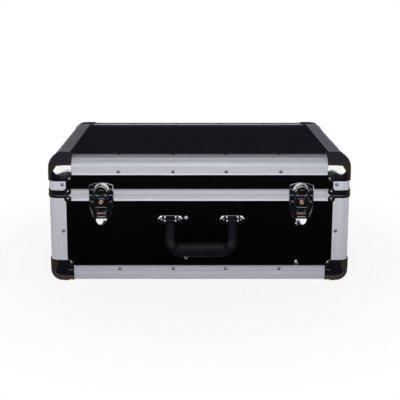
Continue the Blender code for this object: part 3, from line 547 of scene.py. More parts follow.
def range_from(tree, value, *ends):
    """Map a value from one range (low, high) to another (low, high), with its ends held."""
    named = dict(zip(("From_Min", "From_Max", "To_Min", "To_Max"), ends))
    return node(tree, "MapRange", "Result", Value=value, **named)


def maths(tree, operation, first, second):
    """A clamped maths node on two sockets, or on a socket and a number."""
    item = with_settings(tree.nodes.new("ShaderNodeMath"), operation=operation, use_clamp=True)
    for socket, value in zip(item.inputs, (first, second)):
        if isinstance(value, float):
            socket.default_value = value
        else:
            tree.links.new(value, socket)
    return item.outputs["Value"]


def weighted(tree, first, first_share, second, second_share):
    """The sum of two sockets, each times its share."""
    parts = [maths(tree, "MULTIPLY", *part) for part in ((first, first_share), (second, second_share))]
    return maths(tree, "ADD", *parts)


def bump_from(tree, height, strength, distance, **below):
    """A bump from a height, on top of another bump if Normal names one."""
    return node(tree, "Bump", "Normal", Height=height, Strength=strength, Distance=distance, **below)


def cell_bump(tree, scale, strength, distance):
    """A fine pebbled grain in object space."""
    cells = node(tree, "TexVoronoi", "Distance", Vector=node(tree, "TexCoord", "Object"), Scale=scale)
    return bump_from(tree, cells, strength, distance)


def start_material(name, metallic, **sockets):
    """A Principled material and its node tree."""
    material = bpy.data.materials.new(name)
    material.use_nodes = True
    tree = material.node_tree
    fill(tree, tree.nodes["Principled BSDF"], Metallic=metallic, **sockets)
    return material, tree


def finish_material(material, colour, rough, normal):
    """Give a Principled material its colour, roughness and normal."""
    tree = material.node_tree
    fill(tree, tree.nodes["Principled BSDF"], Base_Color=colour, Roughness=rough, Normal=normal)
    return material


def brushed_metal(name, axis, dark, light, rough_low, rough_high, metallic=1.0):
    """Satin metal with drawing lines and duller bands along an axis, and small handling scratches."""
    material, tree = start_material(name, metallic)
    along, across = [1500.0] * 3, [180.0] * 3
    along["xyz".index(axis)] = across["xyz".index(axis)] = 0.15
    lines, bands = noise_from(tree, along, 3.0), noise_from(tree, across, 2.0)
    scratches = noise_from(tree, (260, 260, 260), 8.0, 0.72, 1.4)
    marks = range_from(tree, scratches, 0.60, 0.70, 0.0, 1.0)
    colour = ramp_from(tree, weighted(tree, lines, 0.50, bands, 0.50), (0.32, dark), (0.66, light))
    rough = range_from(tree, weighted(tree, bands, 0.8, marks, 0.3), 0.20, 0.85, rough_low, rough_high)
    normal = bump_from(tree, marks, 0.12, 0.00004, Normal=bump_from(tree, lines, 0.08, 0.00002))
    return finish_material(material, colour, rough, normal)


def plated_metal(name, dark, light, rough_low, rough_high, wave, metallic=1.0):
    """Bright plating, a little wavy from pressing, with smudges and fine pits."""
    material, tree = start_material(name, metallic)
    smudges = noise_from(tree, (70, 70, 70), 6.0, 0.6)
    specks = range_from(tree, noise_from(tree, (900, 900, 900), 4.0, 0.7), 0.62, 0.70, 0.0, 1.0)
    colour = ramp_from(tree, smudges, (0.30, dark), (0.65, light))
    rough = range_from(tree, weighted(tree, smudges, 1.0, specks, 0.3), 0.35, 0.80, rough_low, rough_high)
    swell = bump_from(tree, noise_from(tree, (85, 85, 85), 1.5), 0.30, wave)
    return finish_material(material, colour, rough, bump_from(tree, specks, 0.10, 0.00003, Normal=swell))


def laminate_material(name, dark, light):
    """Black laminate: a fine pebbled print, with faint scuffs and dust-dulled patches."""
    material, tree = start_material(name, 0.0, Specular_IOR_Level=0.06)
    patches = noise_from(tree, (11, 11, 11), 5.0)
    marks = range_from(tree, noise_from(tree, (24, 90, 60), 9.0, 0.75, 2.2), 0.64, 0.72, 0.0, 1.0)
    colour = ramp_from(tree, weighted(tree, patches, 0.5, marks, 0.30), (0.15, dark), (0.60, light))
    rough = range_from(tree, weighted(tree, patches, 1.0, marks, 0.25), 0.20, 0.90, 0.36, 0.46)
    return finish_material(material, colour, rough, cell_bump(tree, 900.0, 0.35, 0.00008))


def ply_material():
    """Birch plywood: grain along the sheet, pores, and darker streaks."""
    material, tree = start_material("birch_ply", 0.0, Specular_IOR_Level=0.35)
    grain = noise_from(tree, (7, 160, 160), 7.0, 0.6, 0.5)
    figure = noise_from(tree, (3, 22, 22), 4.0, 0.55, 1.6)
    colour = ramp_from(
        tree, weighted(tree, grain, 0.55, figure, 0.45),
        (0.30, (0.300, 0.180, 0.090)), (0.50, (0.470, 0.320, 0.180)), (0.70, (0.600, 0.440, 0.270)),
    )
    rough = range_from(tree, grain, 0.30, 0.70, 0.52, 0.74)
    return finish_material(material, colour, rough, bump_from(tree, grain, 0.35, 0.00012))


def plastic_material():
    """Dark moulded plastic with a fine leather grain, polished a little where a hand holds it."""
    material, tree = start_material("handle_plastic", 0.0, Specular_IOR_Level=0.30)
    patches = noise_from(tree, (55, 55, 55))
    colour = ramp_from(tree, patches, (0.30, (0.0030, 0.0030, 0.0050)), (0.70, (0.0062, 0.0062, 0.0096)))
    rough = range_from(tree, patches, 0.30, 0.70, 0.34, 0.50)
    return finish_material(material, colour, rough, cell_bump(tree, 1100.0, 0.40, 0.00012))


def seen_directly(tree):
    """1 for rays that the camera, a mirror or glass sees, and 0 for light."""
    path = tree.nodes.new("ShaderNodeLightPath").outputs
    seen = maths(tree, "MAXIMUM", path["Is Camera Ray"], path["Is Glossy Ray"])
    return maths(tree, "MAXIMUM", seen, path["Is Transmission Ray"])


def mix_surface(tree, output, share, first, second):
    """Join a mix of two shaders to an output node."""
    mix = tree.nodes.new("ShaderNodeMixShader")
    for socket, source in zip(mix.inputs, (share, first, second)):
        tree.links.new(source, socket)
    tree.links.new(mix.outputs["Shader"], tree.nodes[output].inputs["Surface"])


def floor_material():
    """A plain pale floor, very slightly uneven in tone, and white farther out where it is seen."""
    material, tree = start_material("pale_floor", 0.0, Specular_IOR_Level=0.0, Roughness=1.0)
    shader = tree.nodes["Principled BSDF"]
    cloud = noise_from(tree, (1.5, 1.5, 1.5), 2.0)
    fill(tree, shader, Base_Color=ramp_from(tree, cloud, (0.30, (0.915, 0.915, 0.920)), (0.70, (0.930, 0.930, 0.934))))
    length = with_settings(tree.nodes.new("ShaderNodeVectorMath"), operation="LENGTH")
    tree.links.new(node(tree, "TexCoord", "Object"), length.inputs[0])
    far = range_from(tree, length.outputs["Value"], FLOOR_NEAR, FLOOR_FAR, FLOOR_GLOW, 1.0)
    white = node(tree, "Emission", "Emission", Color=WHITE)
    share = maths(tree, "MULTIPLY", seen_directly(tree), far)
    mix_surface(tree, "Material Output", share, shader.outputs["BSDF"], white)
    return material


# Painted light on the aluminium: each axis gets a lit or shaded copy of one satin metal, lighter on the uprights (z)
# and darker and a little bluer on the side rails (y). These are the dark and light tones for pieces drawn along each
# axis
LIT_AND_SHADED_TONES = {
    "x": ((0.68, 0.69, 0.76), (0.78, 0.79, 0.86)),
    "y": ((0.58, 0.59, 0.66), (0.67, 0.68, 0.75)),
    "z": ((0.82, 0.83, 0.90), (0.92, 0.93, 0.99)),
}

# Finishes of pieces, each a material and its slot
# The three aluminium materials differ only in the painted light of the tones above
ALUMINIUM = {
    axis: (brushed_metal(f"satin_aluminium_painted_light_{axis}", axis, *tones, 0.32, 0.42, 0.55), "aluminium")
    for axis, tones in LIT_AND_SHADED_TONES.items()
}
CHROME, FITTING, NICKEL, BRASS, COPPER, CATCH_SHADE_BLACK = [(plated_metal(name, *values), slot) for name, slot, *values in (
    ("chrome_plating", "chrome", (0.86, 0.85, 0.86), (0.95, 0.94, 0.95), 0.03, 0.07, 0.00010),
    ("fitting_chrome", "chrome", (0.84, 0.84, 0.86), (0.94, 0.94, 0.96), 0.03, 0.08, 0.00006),
    ("rivet_nickel", "chrome", (0.84, 0.84, 0.86), (0.95, 0.95, 0.97), 0.05, 0.11, 0.0001),
    ("lock_brass", "brass", (0.78, 0.52, 0.32), (0.92, 0.68, 0.46), 0.10, 0.20, 0.0001, 0.92),
    ("bar_copper", "brass", (0.46, 0.27, 0.20), (0.60, 0.37, 0.28), 0.22, 0.36, 0.0001, 0.6),
    # A near-black metal for the catch: painted shade inside the hasp's window
    ("blackened_steel", "chrome", (0.010, 0.010, 0.012), (0.022, 0.022, 0.026), 0.30, 0.46, 0.0001),
)]
PLASTIC = (plastic_material(), "handle_plastic")

# Materials of the CAD nodes that stay, and of the floor
STEEL = brushed_metal("hinge_steel", "x", (0.50, 0.50, 0.52), (0.62, 0.62, 0.64), 0.24, 0.40)
LAMINATE = laminate_material("black_laminate", (0.0004, 0.0004, 0.0006), (0.0012, 0.0012, 0.0017))
# The top panel's laminate is a lighter copy of the black laminate: painted light on the top
LIT_TOP_LAMINATE = laminate_material("top_laminate_painted_light", (0.0190, 0.0182, 0.0255), (0.0240, 0.0230, 0.0320))
PLY = ply_material()
FLOOR = floor_material()


def fluted(length):
    """Points (distance along, depth below the face) of a fluted face, band after band."""
    points = []
    place = 0.0
    band = FLUTE_PITCH - FLUTE_GROOVE
    while place + FLUTE_PITCH <= length:
        points += [(place, FLUTE_CROWN), (place + band * 0.5, 0.0), (place + band, FLUTE_CROWN)]
        points.append((place + band + FLUTE_GROOVE / 2, FLUTE_DEPTH + FLUTE_CROWN))
        place += FLUTE_PITCH
    return points + [(length, FLUTE_CROWN)]


def rail_outline():
    """The rail's section: a fluted outer skin round the edge, and a slot for each panel."""
    straight = RAIL_FACE - EDGE_RADIUS
    turn = EDGE_RADIUS * math.pi / 2
    outer = []
    for along, depth in fluted(2 * straight + turn):
        if along <= straight:
            outer.append((RAIL_FACE - along, depth))
        elif along < straight + turn:
            angle = math.radians(270) - (along - straight) / EDGE_RADIUS
            radius = EDGE_RADIUS - depth
            outer.append((EDGE_RADIUS + radius * math.cos(angle), EDGE_RADIUS + radius * math.sin(angle)))
        else:
            outer.append((depth, EDGE_RADIUS + along - straight - turn))
    inner_radius = EDGE_RADIUS - RAIL_WALL
    lean = math.degrees(math.asin(RAIL_WALL / inner_radius))
    bend = arc((EDGE_RADIUS, EDGE_RADIUS), inner_radius, 180 + lean, 270 - lean, 6)
    slot = [
        (RAIL_WALL, RAIL_FACE), (RAIL_WALL, EDGE_RADIUS), (SLOT_INNER, EDGE_RADIUS),
        (SLOT_INNER, SLOT_FLANGE), (RIM_INNER, SLOT_FLANGE), (RIM_INNER, inner_radius),
    ]
    return outer + slot + bend + [(y, x) for x, y in reversed(slot)]


def ball_solid(low, far):
    """A block from low to far on each axis. Its three low edges are round, and its low vertex is rounder still."""
    radius, reach = EDGE_RADIUS - low, BALL_REACH - low
    centre = Vector((far, far, far))
    places = [low + radius * step / NET_FINE for step in range(NET_FINE)]
    places += [low + radius + (far - low - radius) * step / NET_COARSE for step in range(NET_COARSE + 1)]
    bm = bmesh.new()
    surface = {}

    def inside(point):
        rounding, ball = 0.0, BALL_SHARE
        for value in point:
            rounding += max(0.0, 1 - (value - low) / radius) ** 2
            ball *= max(0.0, 1 - (value - low) / reach) ** 2
        return rounding + ball <= 1

    def vertex_at(turn, *values):
        corner = Vector(values[-turn:] + values[:-turn])
        key = tuple(round(value, 7) for value in corner)
        if key not in surface:
            near, out = 0.0, 1.0
            for _ in range(NET_HALVINGS):
                middle = (near + out) / 2
                if inside(centre + (corner - centre) * middle):
                    near = middle
                else:
                    out = middle
            surface[key] = bm.verts.new(centre + (corner - centre) * near)
        return surface[key]

    steps = list(zip(places, places[1:]))
    for turn in range(3):
        for first, after_first in steps:
            for second, after_second in steps:
                around = ((first, second), (after_first, second), (after_first, after_second), (first, after_second))
                bm.faces.new([vertex_at(turn, low, *pair) for pair in around])
    middle = bm.verts.new(centre)
    run = [(low, value) for value in reversed(places)] + [(value, low) for value in places[1:]]
    for turn in range(3):
        bm.faces.new([vertex_at(turn, far, *pair) for pair in run] + [middle])
    return finish_mesh(bm)


def nose_box(low, high, radius):
    """A cube whose three edges at the high corner are rounded."""
    bm = opened(box_mesh([low] * 3, [high] * 3))
    edges = [
        edge for edge in bm.edges
        if sum(abs(vertex.co[axis] - high) < GAP for vertex in edge.verts for axis in range(3)) == 5
    ]
    bmesh.ops.bevel(bm, geom=edges, offset=radius, segments=8, profile=0.5, affect="EDGES")
    return finish_mesh(bm)


def rail_mesh(length, end_mitred=False):
    """A rail along local z, mitred for its two neighbours and cut back under the caps at the case's corners."""
    start = PANEL_EDGE + GAP
    end = length - start if end_mitred else length
    mesh = outline_mesh([rail_outline()], end - start, Matrix.Translation((0, 0, start)))
    for place, away in ((GAP, -1), (length - GAP, 1))[:1 + end_mitred]:
        for normal in ((1, 0, away), (0, 1, away)):
            mesh = slice_away(mesh, (0, 0, place), normal)
    clearance = GAP / 3
    outside = cut(box_mesh([-CORNER_PROUD] * 3, [BALL_REACH] * 3), ball_solid(-clearance, CORNER_REACH))
    if end_mitred:
        far_end = Matrix.Translation((0, 0, length)) @ Matrix.Diagonal((1, 1, -1, 1))
        mesh = cut(mesh, placed_copy(outside, far_end))
    return cut(mesh, outside)


def corner_places():
    """The four upright edges: a name, and the signs of the inward directions along X and Y."""
    for depth_name, sign_y in (("front", 1), ("back", -1)):
        for width_name, sign_x in (("left", 1), ("right", -1)):
            yield f"{depth_name}_{width_name}", sign_x, sign_y


def corner_of(sign_x, sign_y, height):
    """The case's outer edge at a corner, at a height."""
    return (LEFT if sign_x > 0 else RIGHT, FRONT if sign_y > 0 else BACK, height)


def corner_copies(mesh, height, up):
    """A mesh at the four upright edges, each with its edge's name. Its x and y point inwards, its z up or down."""
    for place, sign_x, sign_y in corner_places():
        matrix = basis(corner_of(sign_x, sign_y, height), (sign_x, 0, 0), (0, sign_y, 0), (0, 0, up))
        yield place, placed_copy(mesh, matrix)


def side_frames(height, up):
    """The four sides: a name, an axis, and the matrix whose x points inwards and whose z runs along the side."""
    for side, axis, signs, inward, along in (
        ("front", "x", (1, 1), (0, 1, 0), (1, 0, 0)), ("back", "x", (1, -1), (0, -1, 0), (1, 0, 0)),
        ("left", "y", (1, 1), (1, 0, 0), (0, 1, 0)), ("right", "y", (-1, 1), (-1, 0, 0), (0, 1, 0)),
    ):
        yield side, axis, basis(corner_of(*signs, height), inward, (0, 0, up), along)


def build_rails():
    """Eight long rails round the floor and the lid, and eight upright ones."""
    rails = {"x": rail_mesh(WIDTH, True), "y": rail_mesh(DEPTH, True)}
    uprights = {
        "base": rail_mesh(BASE_RIM_TOP - BASE_RIM_WEB - GAP - BOTTOM),
        "lid": rail_mesh(TOP - LID_RIM_BOTTOM - LID_RIM_WEB - GAP),
    }
    for (body, height, up), level in zip(EDGES, ("base_bottom", "lid_top")):
        for side, axis, matrix in side_frames(height, up):
            name = f"{level}_rail_{side}"
            add_profile(f"{name}_fluted", name, placed_copy(rails[axis], matrix), axis, body)
    for body, height, up in EDGES:
        for place, mesh in corner_copies(uprights[body], height, up):
            name = f"{body}_upright_rail_{place}"
            add_profile(f"{name}_fluted", name, mesh, "z", body)


def ring_mesh(outer_in, inner_in, low, high):
    """A level ring between two distances in from the rails' outer faces."""
    outlines = [
        rounded_rectangle(WIDTH / 2 - distance, DEPTH / 2 - distance, EDGE_RADIUS - distance)
        for distance in (outer_in, inner_in)
    ]
    return outline_mesh(outlines, high - low, Matrix.Translation((0, MIDDLE_Y, low)))


def rim_flanges(start, up):
    """The rim's fluted outer flange and plain inner flange on the four sides, from a height upwards or down."""
    height = RIM_FACE - GAP
    face = [(depth, along) for along, depth in fluted(height)] + [(RAIL_WALL, height), (RAIL_WALL, 0)]
    inner = height * INNER_FLANGE_SHARE
    plain = [(SLOT_INNER, 0), (SLOT_INNER, inner), (RIM_INNER, inner), (RIM_INNER, 0)]
    for outline, end in ((face, RAIL_FACE + GAP), (plain, SLOT_FLANGE + GAP)):
        for _, axis, matrix in side_frames(start, up):
            length = (WIDTH if axis == "x" else DEPTH) - 2 * end
            yield placed_copy(outline_mesh([outline], length, Matrix.Translation((0, 0, end))), matrix)


def build_rims():
    """The rim frames that meet at the parting line, with a tongue below and a groove above."""
    web_low, web_high = BASE_RIM_TOP - BASE_RIM_WEB, LID_RIM_BOTTOM + LID_RIM_WEB
    near, far = TONGUE_DEPTH_IN, TONGUE_DEPTH_IN + TONGUE_WALL
    tongue_top, spare = BASE_RIM_TOP + TONGUE_HEIGHT, TONGUE_CLEARANCE
    base = [ring_mesh(0, RIM_INNER, web_low, BASE_RIM_TOP), ring_mesh(near, far, web_low + GAP, tongue_top)]
    base += rim_flanges(BASE_RIM_TOP - GAP, -1)
    add_profile("base_rim_fluted", "base_rim_frame", gather(base), "x", "base")
    groove = ring_mesh(near - spare, far + spare, LID_RIM_BOTTOM - GAP, tongue_top + spare)
    lid = [cut(ring_mesh(0, RIM_INNER, LID_RIM_BOTTOM, web_high), groove)]
    lid += rim_flanges(LID_RIM_BOTTOM + GAP, 1)
    add_profile("lid_rim_fluted", "lid_rim_frame", gather(lid), "x", "lid")


def build_corners():
    """Eight pressed chrome corners over the ends of the rails."""
    far = CORNER_REACH + CORNER_SPARE
    shell = cut(ball_solid(-CORNER_PROUD, far), ball_solid(-GAP, far * HOLLOW_SHARE))
    shell = combine(shell, nose_box(-far, CORNER_REACH, CORNER_NOSE), "INTERSECT")
    for body, height, up in EDGES:
        for place, mesh in corner_copies(shell, height, up):
            name = f"{body}_corner_{place}"
            add_piece(f"{name}_pressed", mesh, CHROME, body, name, 40, CORNER_BEVEL, 3)


def band_path(out):
    """Points round an upright edge from ear to ear. out is below 0 outside the rails' faces."""
    turn = arc((EDGE_RADIUS, EDGE_RADIUS), EDGE_RADIUS - out, 270, 180)
    return [(EAR_IN, out)] + turn + [(out, EAR_IN)]


def bracket_mesh(band_height):
    """A chrome band round an upright edge, standing on z = 0, with a round ear on each face."""
    outer, inner = -GAP - BRACKET_WALL, -GAP
    mesh = outline_mesh([band_path(outer) + band_path(inner)[::-1]], band_height)
    across_y = cylinder_mesh((EAR_IN, outer, EAR_RADIUS), (EAR_IN, inner, EAR_RADIUS), EAR_RADIUS, 32)
    across_x = cylinder_mesh((outer, EAR_IN, EAR_RADIUS), (inner, EAR_IN, EAR_RADIUS), EAR_RADIUS, 32)
    return union(mesh, across_y, across_x)


def build_brackets():
    """The bracket bands on either side of the parting line, at the four upright edges."""
    lip_shape = bead_mesh([(x, y, LIP_RADIUS) for x, y in band_path(-GAP - BRACKET_WALL)], LIP_RADIUS, 12)
    for body, band, height, up in (("base", BASE_BAND, BASE_RIM_TOP, -1), ("lid", LID_BAND, LID_RIM_BOTTOM, 1)):
        bands = corner_copies(bracket_mesh(band), height, up)
        for (place, mesh), (_, lip) in zip(bands, corner_copies(lip_shape, height, up)):
            name = f"{body}_bracket_{place}"
            add_fitting(name, "bent", mesh, body)
            if body == "base":
                add_piece(f"{name}_lip", lip, FITTING, body, angle=50)


def head_mesh(profile, radius, height, sides=24):
    """A rivet or screw head standing on z = 0. The profile is shares of (radius, height)."""
    return lathe_mesh([(0, 0)] + [(radius * share, height * rise) for share, rise in profile], sides=sides)


def rivet_mesh(radius, height):
    """A domed rivet head with a small skirt."""
    return head_mesh(RIVET_PROFILE, radius, height, 20)


def screw_mesh(radius, height):
    """A raised countersunk screw head with a cross recess."""
    mesh = head_mesh(SCREW_PROFILE, radius, height)
    arm, wide = radius * RECESS_ARM, radius * RECESS_WIDE
    for half_x, half_y in ((arm, wide), (wide, arm)):
        mesh = cut(mesh, box_mesh((-half_x, -half_y, height * RECESS_FLOOR), (half_x, half_y, height * 2)))
    return mesh


def beside_edge(sign_x, sign_y, inward, proud, height):
    """Places on the two faces beside an upright edge, at a distance in from it, each with the way it looks."""
    x, y, _ = corner_of(sign_x, sign_y, 0)
    return [
        ((x + sign_x * inward, y - sign_y * proud, height), (0, -sign_y, 0)),
        ((x - sign_x * proud, y + sign_y * inward, height), (-sign_x, 0, 0)),
    ]


def build_rivets():
    """Rivets along every rail and in the corners and brackets, and two nibs in each corner of the base."""
    small = rivet_mesh(*RIVET)
    for body, edge, up in EDGES:
        rails, corners, faces, ears = [], [], [], []
        level = edge + up * RIVET_IN
        rim = BASE_RIM_TOP if body == "base" else LID_RIM_BOTTOM
        for x in RAIL_RIVETS_X:
            for face, outward in ((FRONT, -1), (BACK, 1)):
                rails.append(((x, face, level), (0, outward, 0)))
                rails.append(((x, face - outward * RIVET_IN, edge), (0, 0, -up)))
        for y in RAIL_RIVETS_Y:
            rails += [((face, MIDDLE_Y + y, level), (outward, 0, 0)) for face, outward in ((LEFT, -1), (RIGHT, 1))]
        for _, sign_x, sign_y in corner_places():
            rails += beside_edge(sign_x, sign_y, RIVET_IN, 0, UPRIGHT_RIVET_Z[body])
            corners += beside_edge(sign_x, sign_y, CORNER_RIVET_IN, CORNER_PROUD, edge + up * CORNER_RIVET_IN)
            ears += beside_edge(sign_x, sign_y, EAR_IN, GAP + BRACKET_WALL, rim - up * EAR_RADIUS)
            x, y, z = corner_of(sign_x, sign_y, edge - up * (CORNER_PROUD - FACE_RIVET_SUNK))
            faces.append(((x + sign_x * CORNER_RIVET_IN, y + sign_y * CORNER_RIVET_IN, z), (0, 0, -up)))
        add_heads(f"{body}_rail_rivets", small, rails, body)
        add_heads(f"{body}_corner_rivets", small, corners, body)
        add_heads(f"{body}_corner_face_rivets", rivet_mesh(*FACE_RIVET), faces, body)
        add_heads(f"{body}_bracket_rivets", small, ears, body)
    nibs = []
    for _, sign_x, sign_y in corner_places():
        starts, ends = (beside_edge(sign_x, sign_y, place, CORNER_PROUD, NIB_Z) for place in NIB_PLACES)
        nibs += [bead_mesh((start, end), NIB_RADIUS, 12) for (start, _), (end, _) in zip(starts, ends)]
    add_piece("base_corner_nibs", gather(nibs), CHROME, "base", angle=35)


def build_screws():
    """Bright screws through the front and back panels into the dividers."""
    for side, face, outward in (("front", FRONT + SKIN, -1), ("back", BACK - SKIN, 1)):
        places = [((x, face, z), (0, outward, 0)) for x, z in FRONT_SCREWS]
        add_heads(f"divider_screws_{side}", screw_mesh(*PANEL_SCREW), places, "base")


def front_plate(outlines, out, wall):
    """A plate facing the front, whose back is at a distance out from the rails' faces."""
    return outline_mesh(outlines, wall, Matrix.Translation((0, FRONT - out, 0)) @ FACING_FRONT)


def with_sides(mesh, outline, inner, outer, pivot_out, pivot_height):
    """Join a plate across X to either side of a mesh. Its outline is drawn as (outwards, upwards) from a pivot."""
    for low in (-outer, inner):
        matrix = basis((low, FRONT - pivot_out, pivot_height), (0, -1, 0), (0, 0, 1), (1, 0, 0))
        mesh = union(mesh, outline_mesh([outline], outer - inner, matrix))
    return mesh


def catch_outline():
    """The lid plate's outline, with its arched top."""
    half = LATCH_WIDTH / 2
    arch_radius = (half**2 + LATCH_SHOULDER**2) / (2 * LATCH_SHOULDER)
    lean = math.degrees(math.asin(half / arch_radius))
    arch = arc((0, LATCH_TOP - arch_radius), arch_radius, 90 - lean, 90 + lean, 16)
    return [(half, LID_RIM_BOTTOM + GAP), *arch, (-half, LID_RIM_BOTTOM + GAP)]


def base_plate_outline():
    """The base plate's outline, which tapers to its foot."""
    half, foot = LATCH_WIDTH / 2, LATCH_FOOT / 2
    corner = (half - foot) / 2
    left = [
        (-half, BASE_RIM_TOP - GAP), (-half, LATCH_TAPER), (-foot, LATCH_BOTTOM + corner),
        (-foot + corner, LATCH_BOTTOM),
    ]
    return left + [(-x, z) for x, z in reversed(left)]


def plate_border(run, centre):
    """A raised border along a run of (x, z) points on the face of a latch plate."""
    return bead_mesh([(centre + x, PLATE_FACE, z) for x, z in run], PLATE_BEAD, 8)


def add_plate(kind, ending, mesh, borders, rivet_z, body, side, centre):
    """A latch plate with its raised borders and two rivets."""
    name = f"latch_{kind}_plate_{side}"
    add_fitting(name, "pressed", shifted(mesh, centre), body)
    add_piece(f"{name}_{ending}", gather(borders), FITTING, body, angle=50)
    reach = LATCH_WIDTH / 2 - PLATE_RIVET_IN
    places = [((centre + x, PLATE_FACE, rivet_z), (0, -1, 0)) for x in (-reach, reach)]
    add_heads(f"latch_{body}_rivets_{side}", rivet_mesh(*PLATE_RIVET), places, body)


def build_catch(side, centre):
    """The latch's plate on the lid, with a raised border, two rivets and the catch in its middle."""
    half = CATCH_WIDTH / 2
    start = FRONT - GAP - LATCH_PLATE / 2
    hook = box_mesh((centre - half, FRONT - CATCH_OUT, CATCH_LOW), (centre + half, start, CATCH_HIGH))
    # The catch is near black: painted shade inside the hasp's window
    add_piece(f"latch_catch_hook_{side}", hook, CATCH_SHADE_BLACK, "lid", bevel=CATCH_BEVEL, segments=3)
    half = LATCH_WIDTH / 2 - PLATE_BEAD
    shoulder = LATCH_TOP - LATCH_SHOULDER - PLATE_BEAD / 2
    side_run = [(half, LID_RIM_BOTTOM + BORDER_END), (half, shoulder - BORDER_END / 2)]
    arch = [(x * (1 - PLATE_BEAD * 2 / LATCH_WIDTH), z - PLATE_BEAD) for x, z in catch_outline()[1:-1]]
    border = plate_border(side_run + arch + [(-x, z) for x, z in reversed(side_run)], centre)
    plate = front_plate([catch_outline()], GAP, LATCH_PLATE)
    add_plate("catch", "border", plate, [border], CATCH_RIVET_Z, "lid", side, centre)


def build_latch_base(side, centre):
    """The latch's plate on the base, with raised borders and two lugs for the lever's pin."""
    inner = LEVER_WIDTH / 2 + RUNNING_GAP
    reach = PIVOT_OUT - GAP - LATCH_PLATE / 2
    lug = arc((0, 0), CHEEK_HALF, -90, 90) + [(-reach, CHEEK_HALF), (-reach, -CHEEK_HALF)]
    mesh = front_plate([base_plate_outline()], GAP, LATCH_PLATE)
    mesh = with_sides(mesh, lug, inner, inner + LUG_WALL, PIVOT_OUT, PIVOT_Z)
    mesh = union(mesh, axle_mesh(PIVOT, inner + LUG_WALL / 2, PIN_RADIUS))
    half, foot = LATCH_WIDTH / 2 - PLATE_BEAD, LATCH_FOOT / 2 - PLATE_BEAD
    end = (foot + BORDER_FOOT[0], LATCH_BOTTOM + BORDER_FOOT[1])
    line = [(half, BASE_RIM_TOP - BORDER_END), (half, LATCH_TAPER), end]
    borders = [plate_border([(sign * x, z) for x, z in line], centre) for sign in (-1, 1)]
    add_plate("base", "borders", mesh, borders, BASE_RIVET_Z, "base", side, centre)


def tab_mesh(half):
    """The lever's finger tab: a shallow spoon with a round end, which flares away from the case."""
    length = TAB_END - TAB_START
    straight = length - half
    rows = [(0.0, half), (straight / 2, half)]
    turns = [math.radians(turn) for turn in range(0, 88, 6)]
    rows += [(straight + half * math.sin(turn), half * math.cos(turn)) for turn in turns]
    rings = []
    for depth, reach in rows:
        ring = []
        for wall, columns in ((0.0, range(-6, 7)), (TAB_WALL, range(6, -7, -1))):
            for column in columns:
                x = reach * column / 6
                out = TAB_OUT + TAB_FLARE * (depth / length) ** 2 + TAB_DISH * (x / half) ** 2 - wall
                ring.append((x, FRONT - PIVOT_OUT - out, PIVOT_Z - TAB_START - depth))
        rings.append(ring)
    return loft_mesh(rings)


def build_lever(side, centre):
    """The lever: two cheeks on the pivot pin, the hasp's bar between them and a scooped finger tab."""
    half = LEVER_WIDTH / 2
    end = -(TAB_START + TAB_WALL * 1.4)
    cheek = arc((0, 0), CHEEK_HALF, 0, 180) + [(-CHEEK_HALF, end), (CHEEK_HALF, end)]
    mesh = with_sides(tab_mesh(half), cheek, half - CHEEK, half, PIVOT_OUT, PIVOT_Z)
    mesh = cut(mesh, axle_mesh(PIVOT, LEVER_WIDTH, PIN_RADIUS + GAP))
    name = f"latch_lever_{side}"
    add_fitting(name, "pressed", shifted(mesh, centre), name, bevel=LEVER_BEVEL)
    bar = axle_mesh((centre, FRONT - PIVOT_OUT, BAR_Z), half - CHEEK / 2, PIN_RADIUS, 20)
    add_piece(f"{name}_bar", bar, COPPER, name)


def dome_mesh():
    """The domed rim over the hasp's window: a section (radius, distance out) led up one side, round and down."""
    arch = HASP_TOP - HASP_WIDTH / 2
    rise = [DOME_START + (arch - DOME_START) * step / 3 for step in range(3)]
    stations = [(height, 0.0) for height in rise] + [(arch, 180.0 * step / 28) for step in range(29)]
    stations += [(height, 180.0) for height in reversed(rise)]
    rings = []
    for height, turn in stations:
        across, up = math.cos(math.radians(turn)), math.sin(math.radians(turn))
        rings.append([(radius * across, FRONT - out, height + radius * up) for radius, out in DOME_PROFILE])
    return loft_mesh(rings)


def hasp_cover():
    """The hasp's cover, with its window, its lock housing and the hole for the key plug."""
    hole = arc((0, KEY_Z), KEY_RADIUS + GAP, 0, 345, 23)
    half, corner = HASP_WIDTH / 2, HASP_WIDTH / 6
    outline = arc((0, HASP_TOP - half), half, 0, 180, 28)
    outline += arc((corner - half, HASP_BOTTOM + corner), corner, 180, 270, 6)
    outline += arc((half - corner, HASP_BOTTOM + corner), corner, 270, 360, 6)
    opening = WINDOW_WIDTH / 2
    window = [(-opening, WINDOW_BOTTOM), (opening, WINDOW_BOTTOM)]
    window += arc((0, WINDOW_TOP - opening), opening, 0, 180, 20)
    box = KEY_HOUSING / 2
    square = [(x, KEY_Z + z) for x, z in rounded_rectangle(box, box, HOUSING_CORNER, 4)]
    housing = front_plate([square, hole], COVER_OUT + HASP_WALL / 2, HASP_WALL / 2 + HOUSING_STEP)
    return union(front_plate([outline, window, hole], COVER_OUT, HASP_WALL), housing)


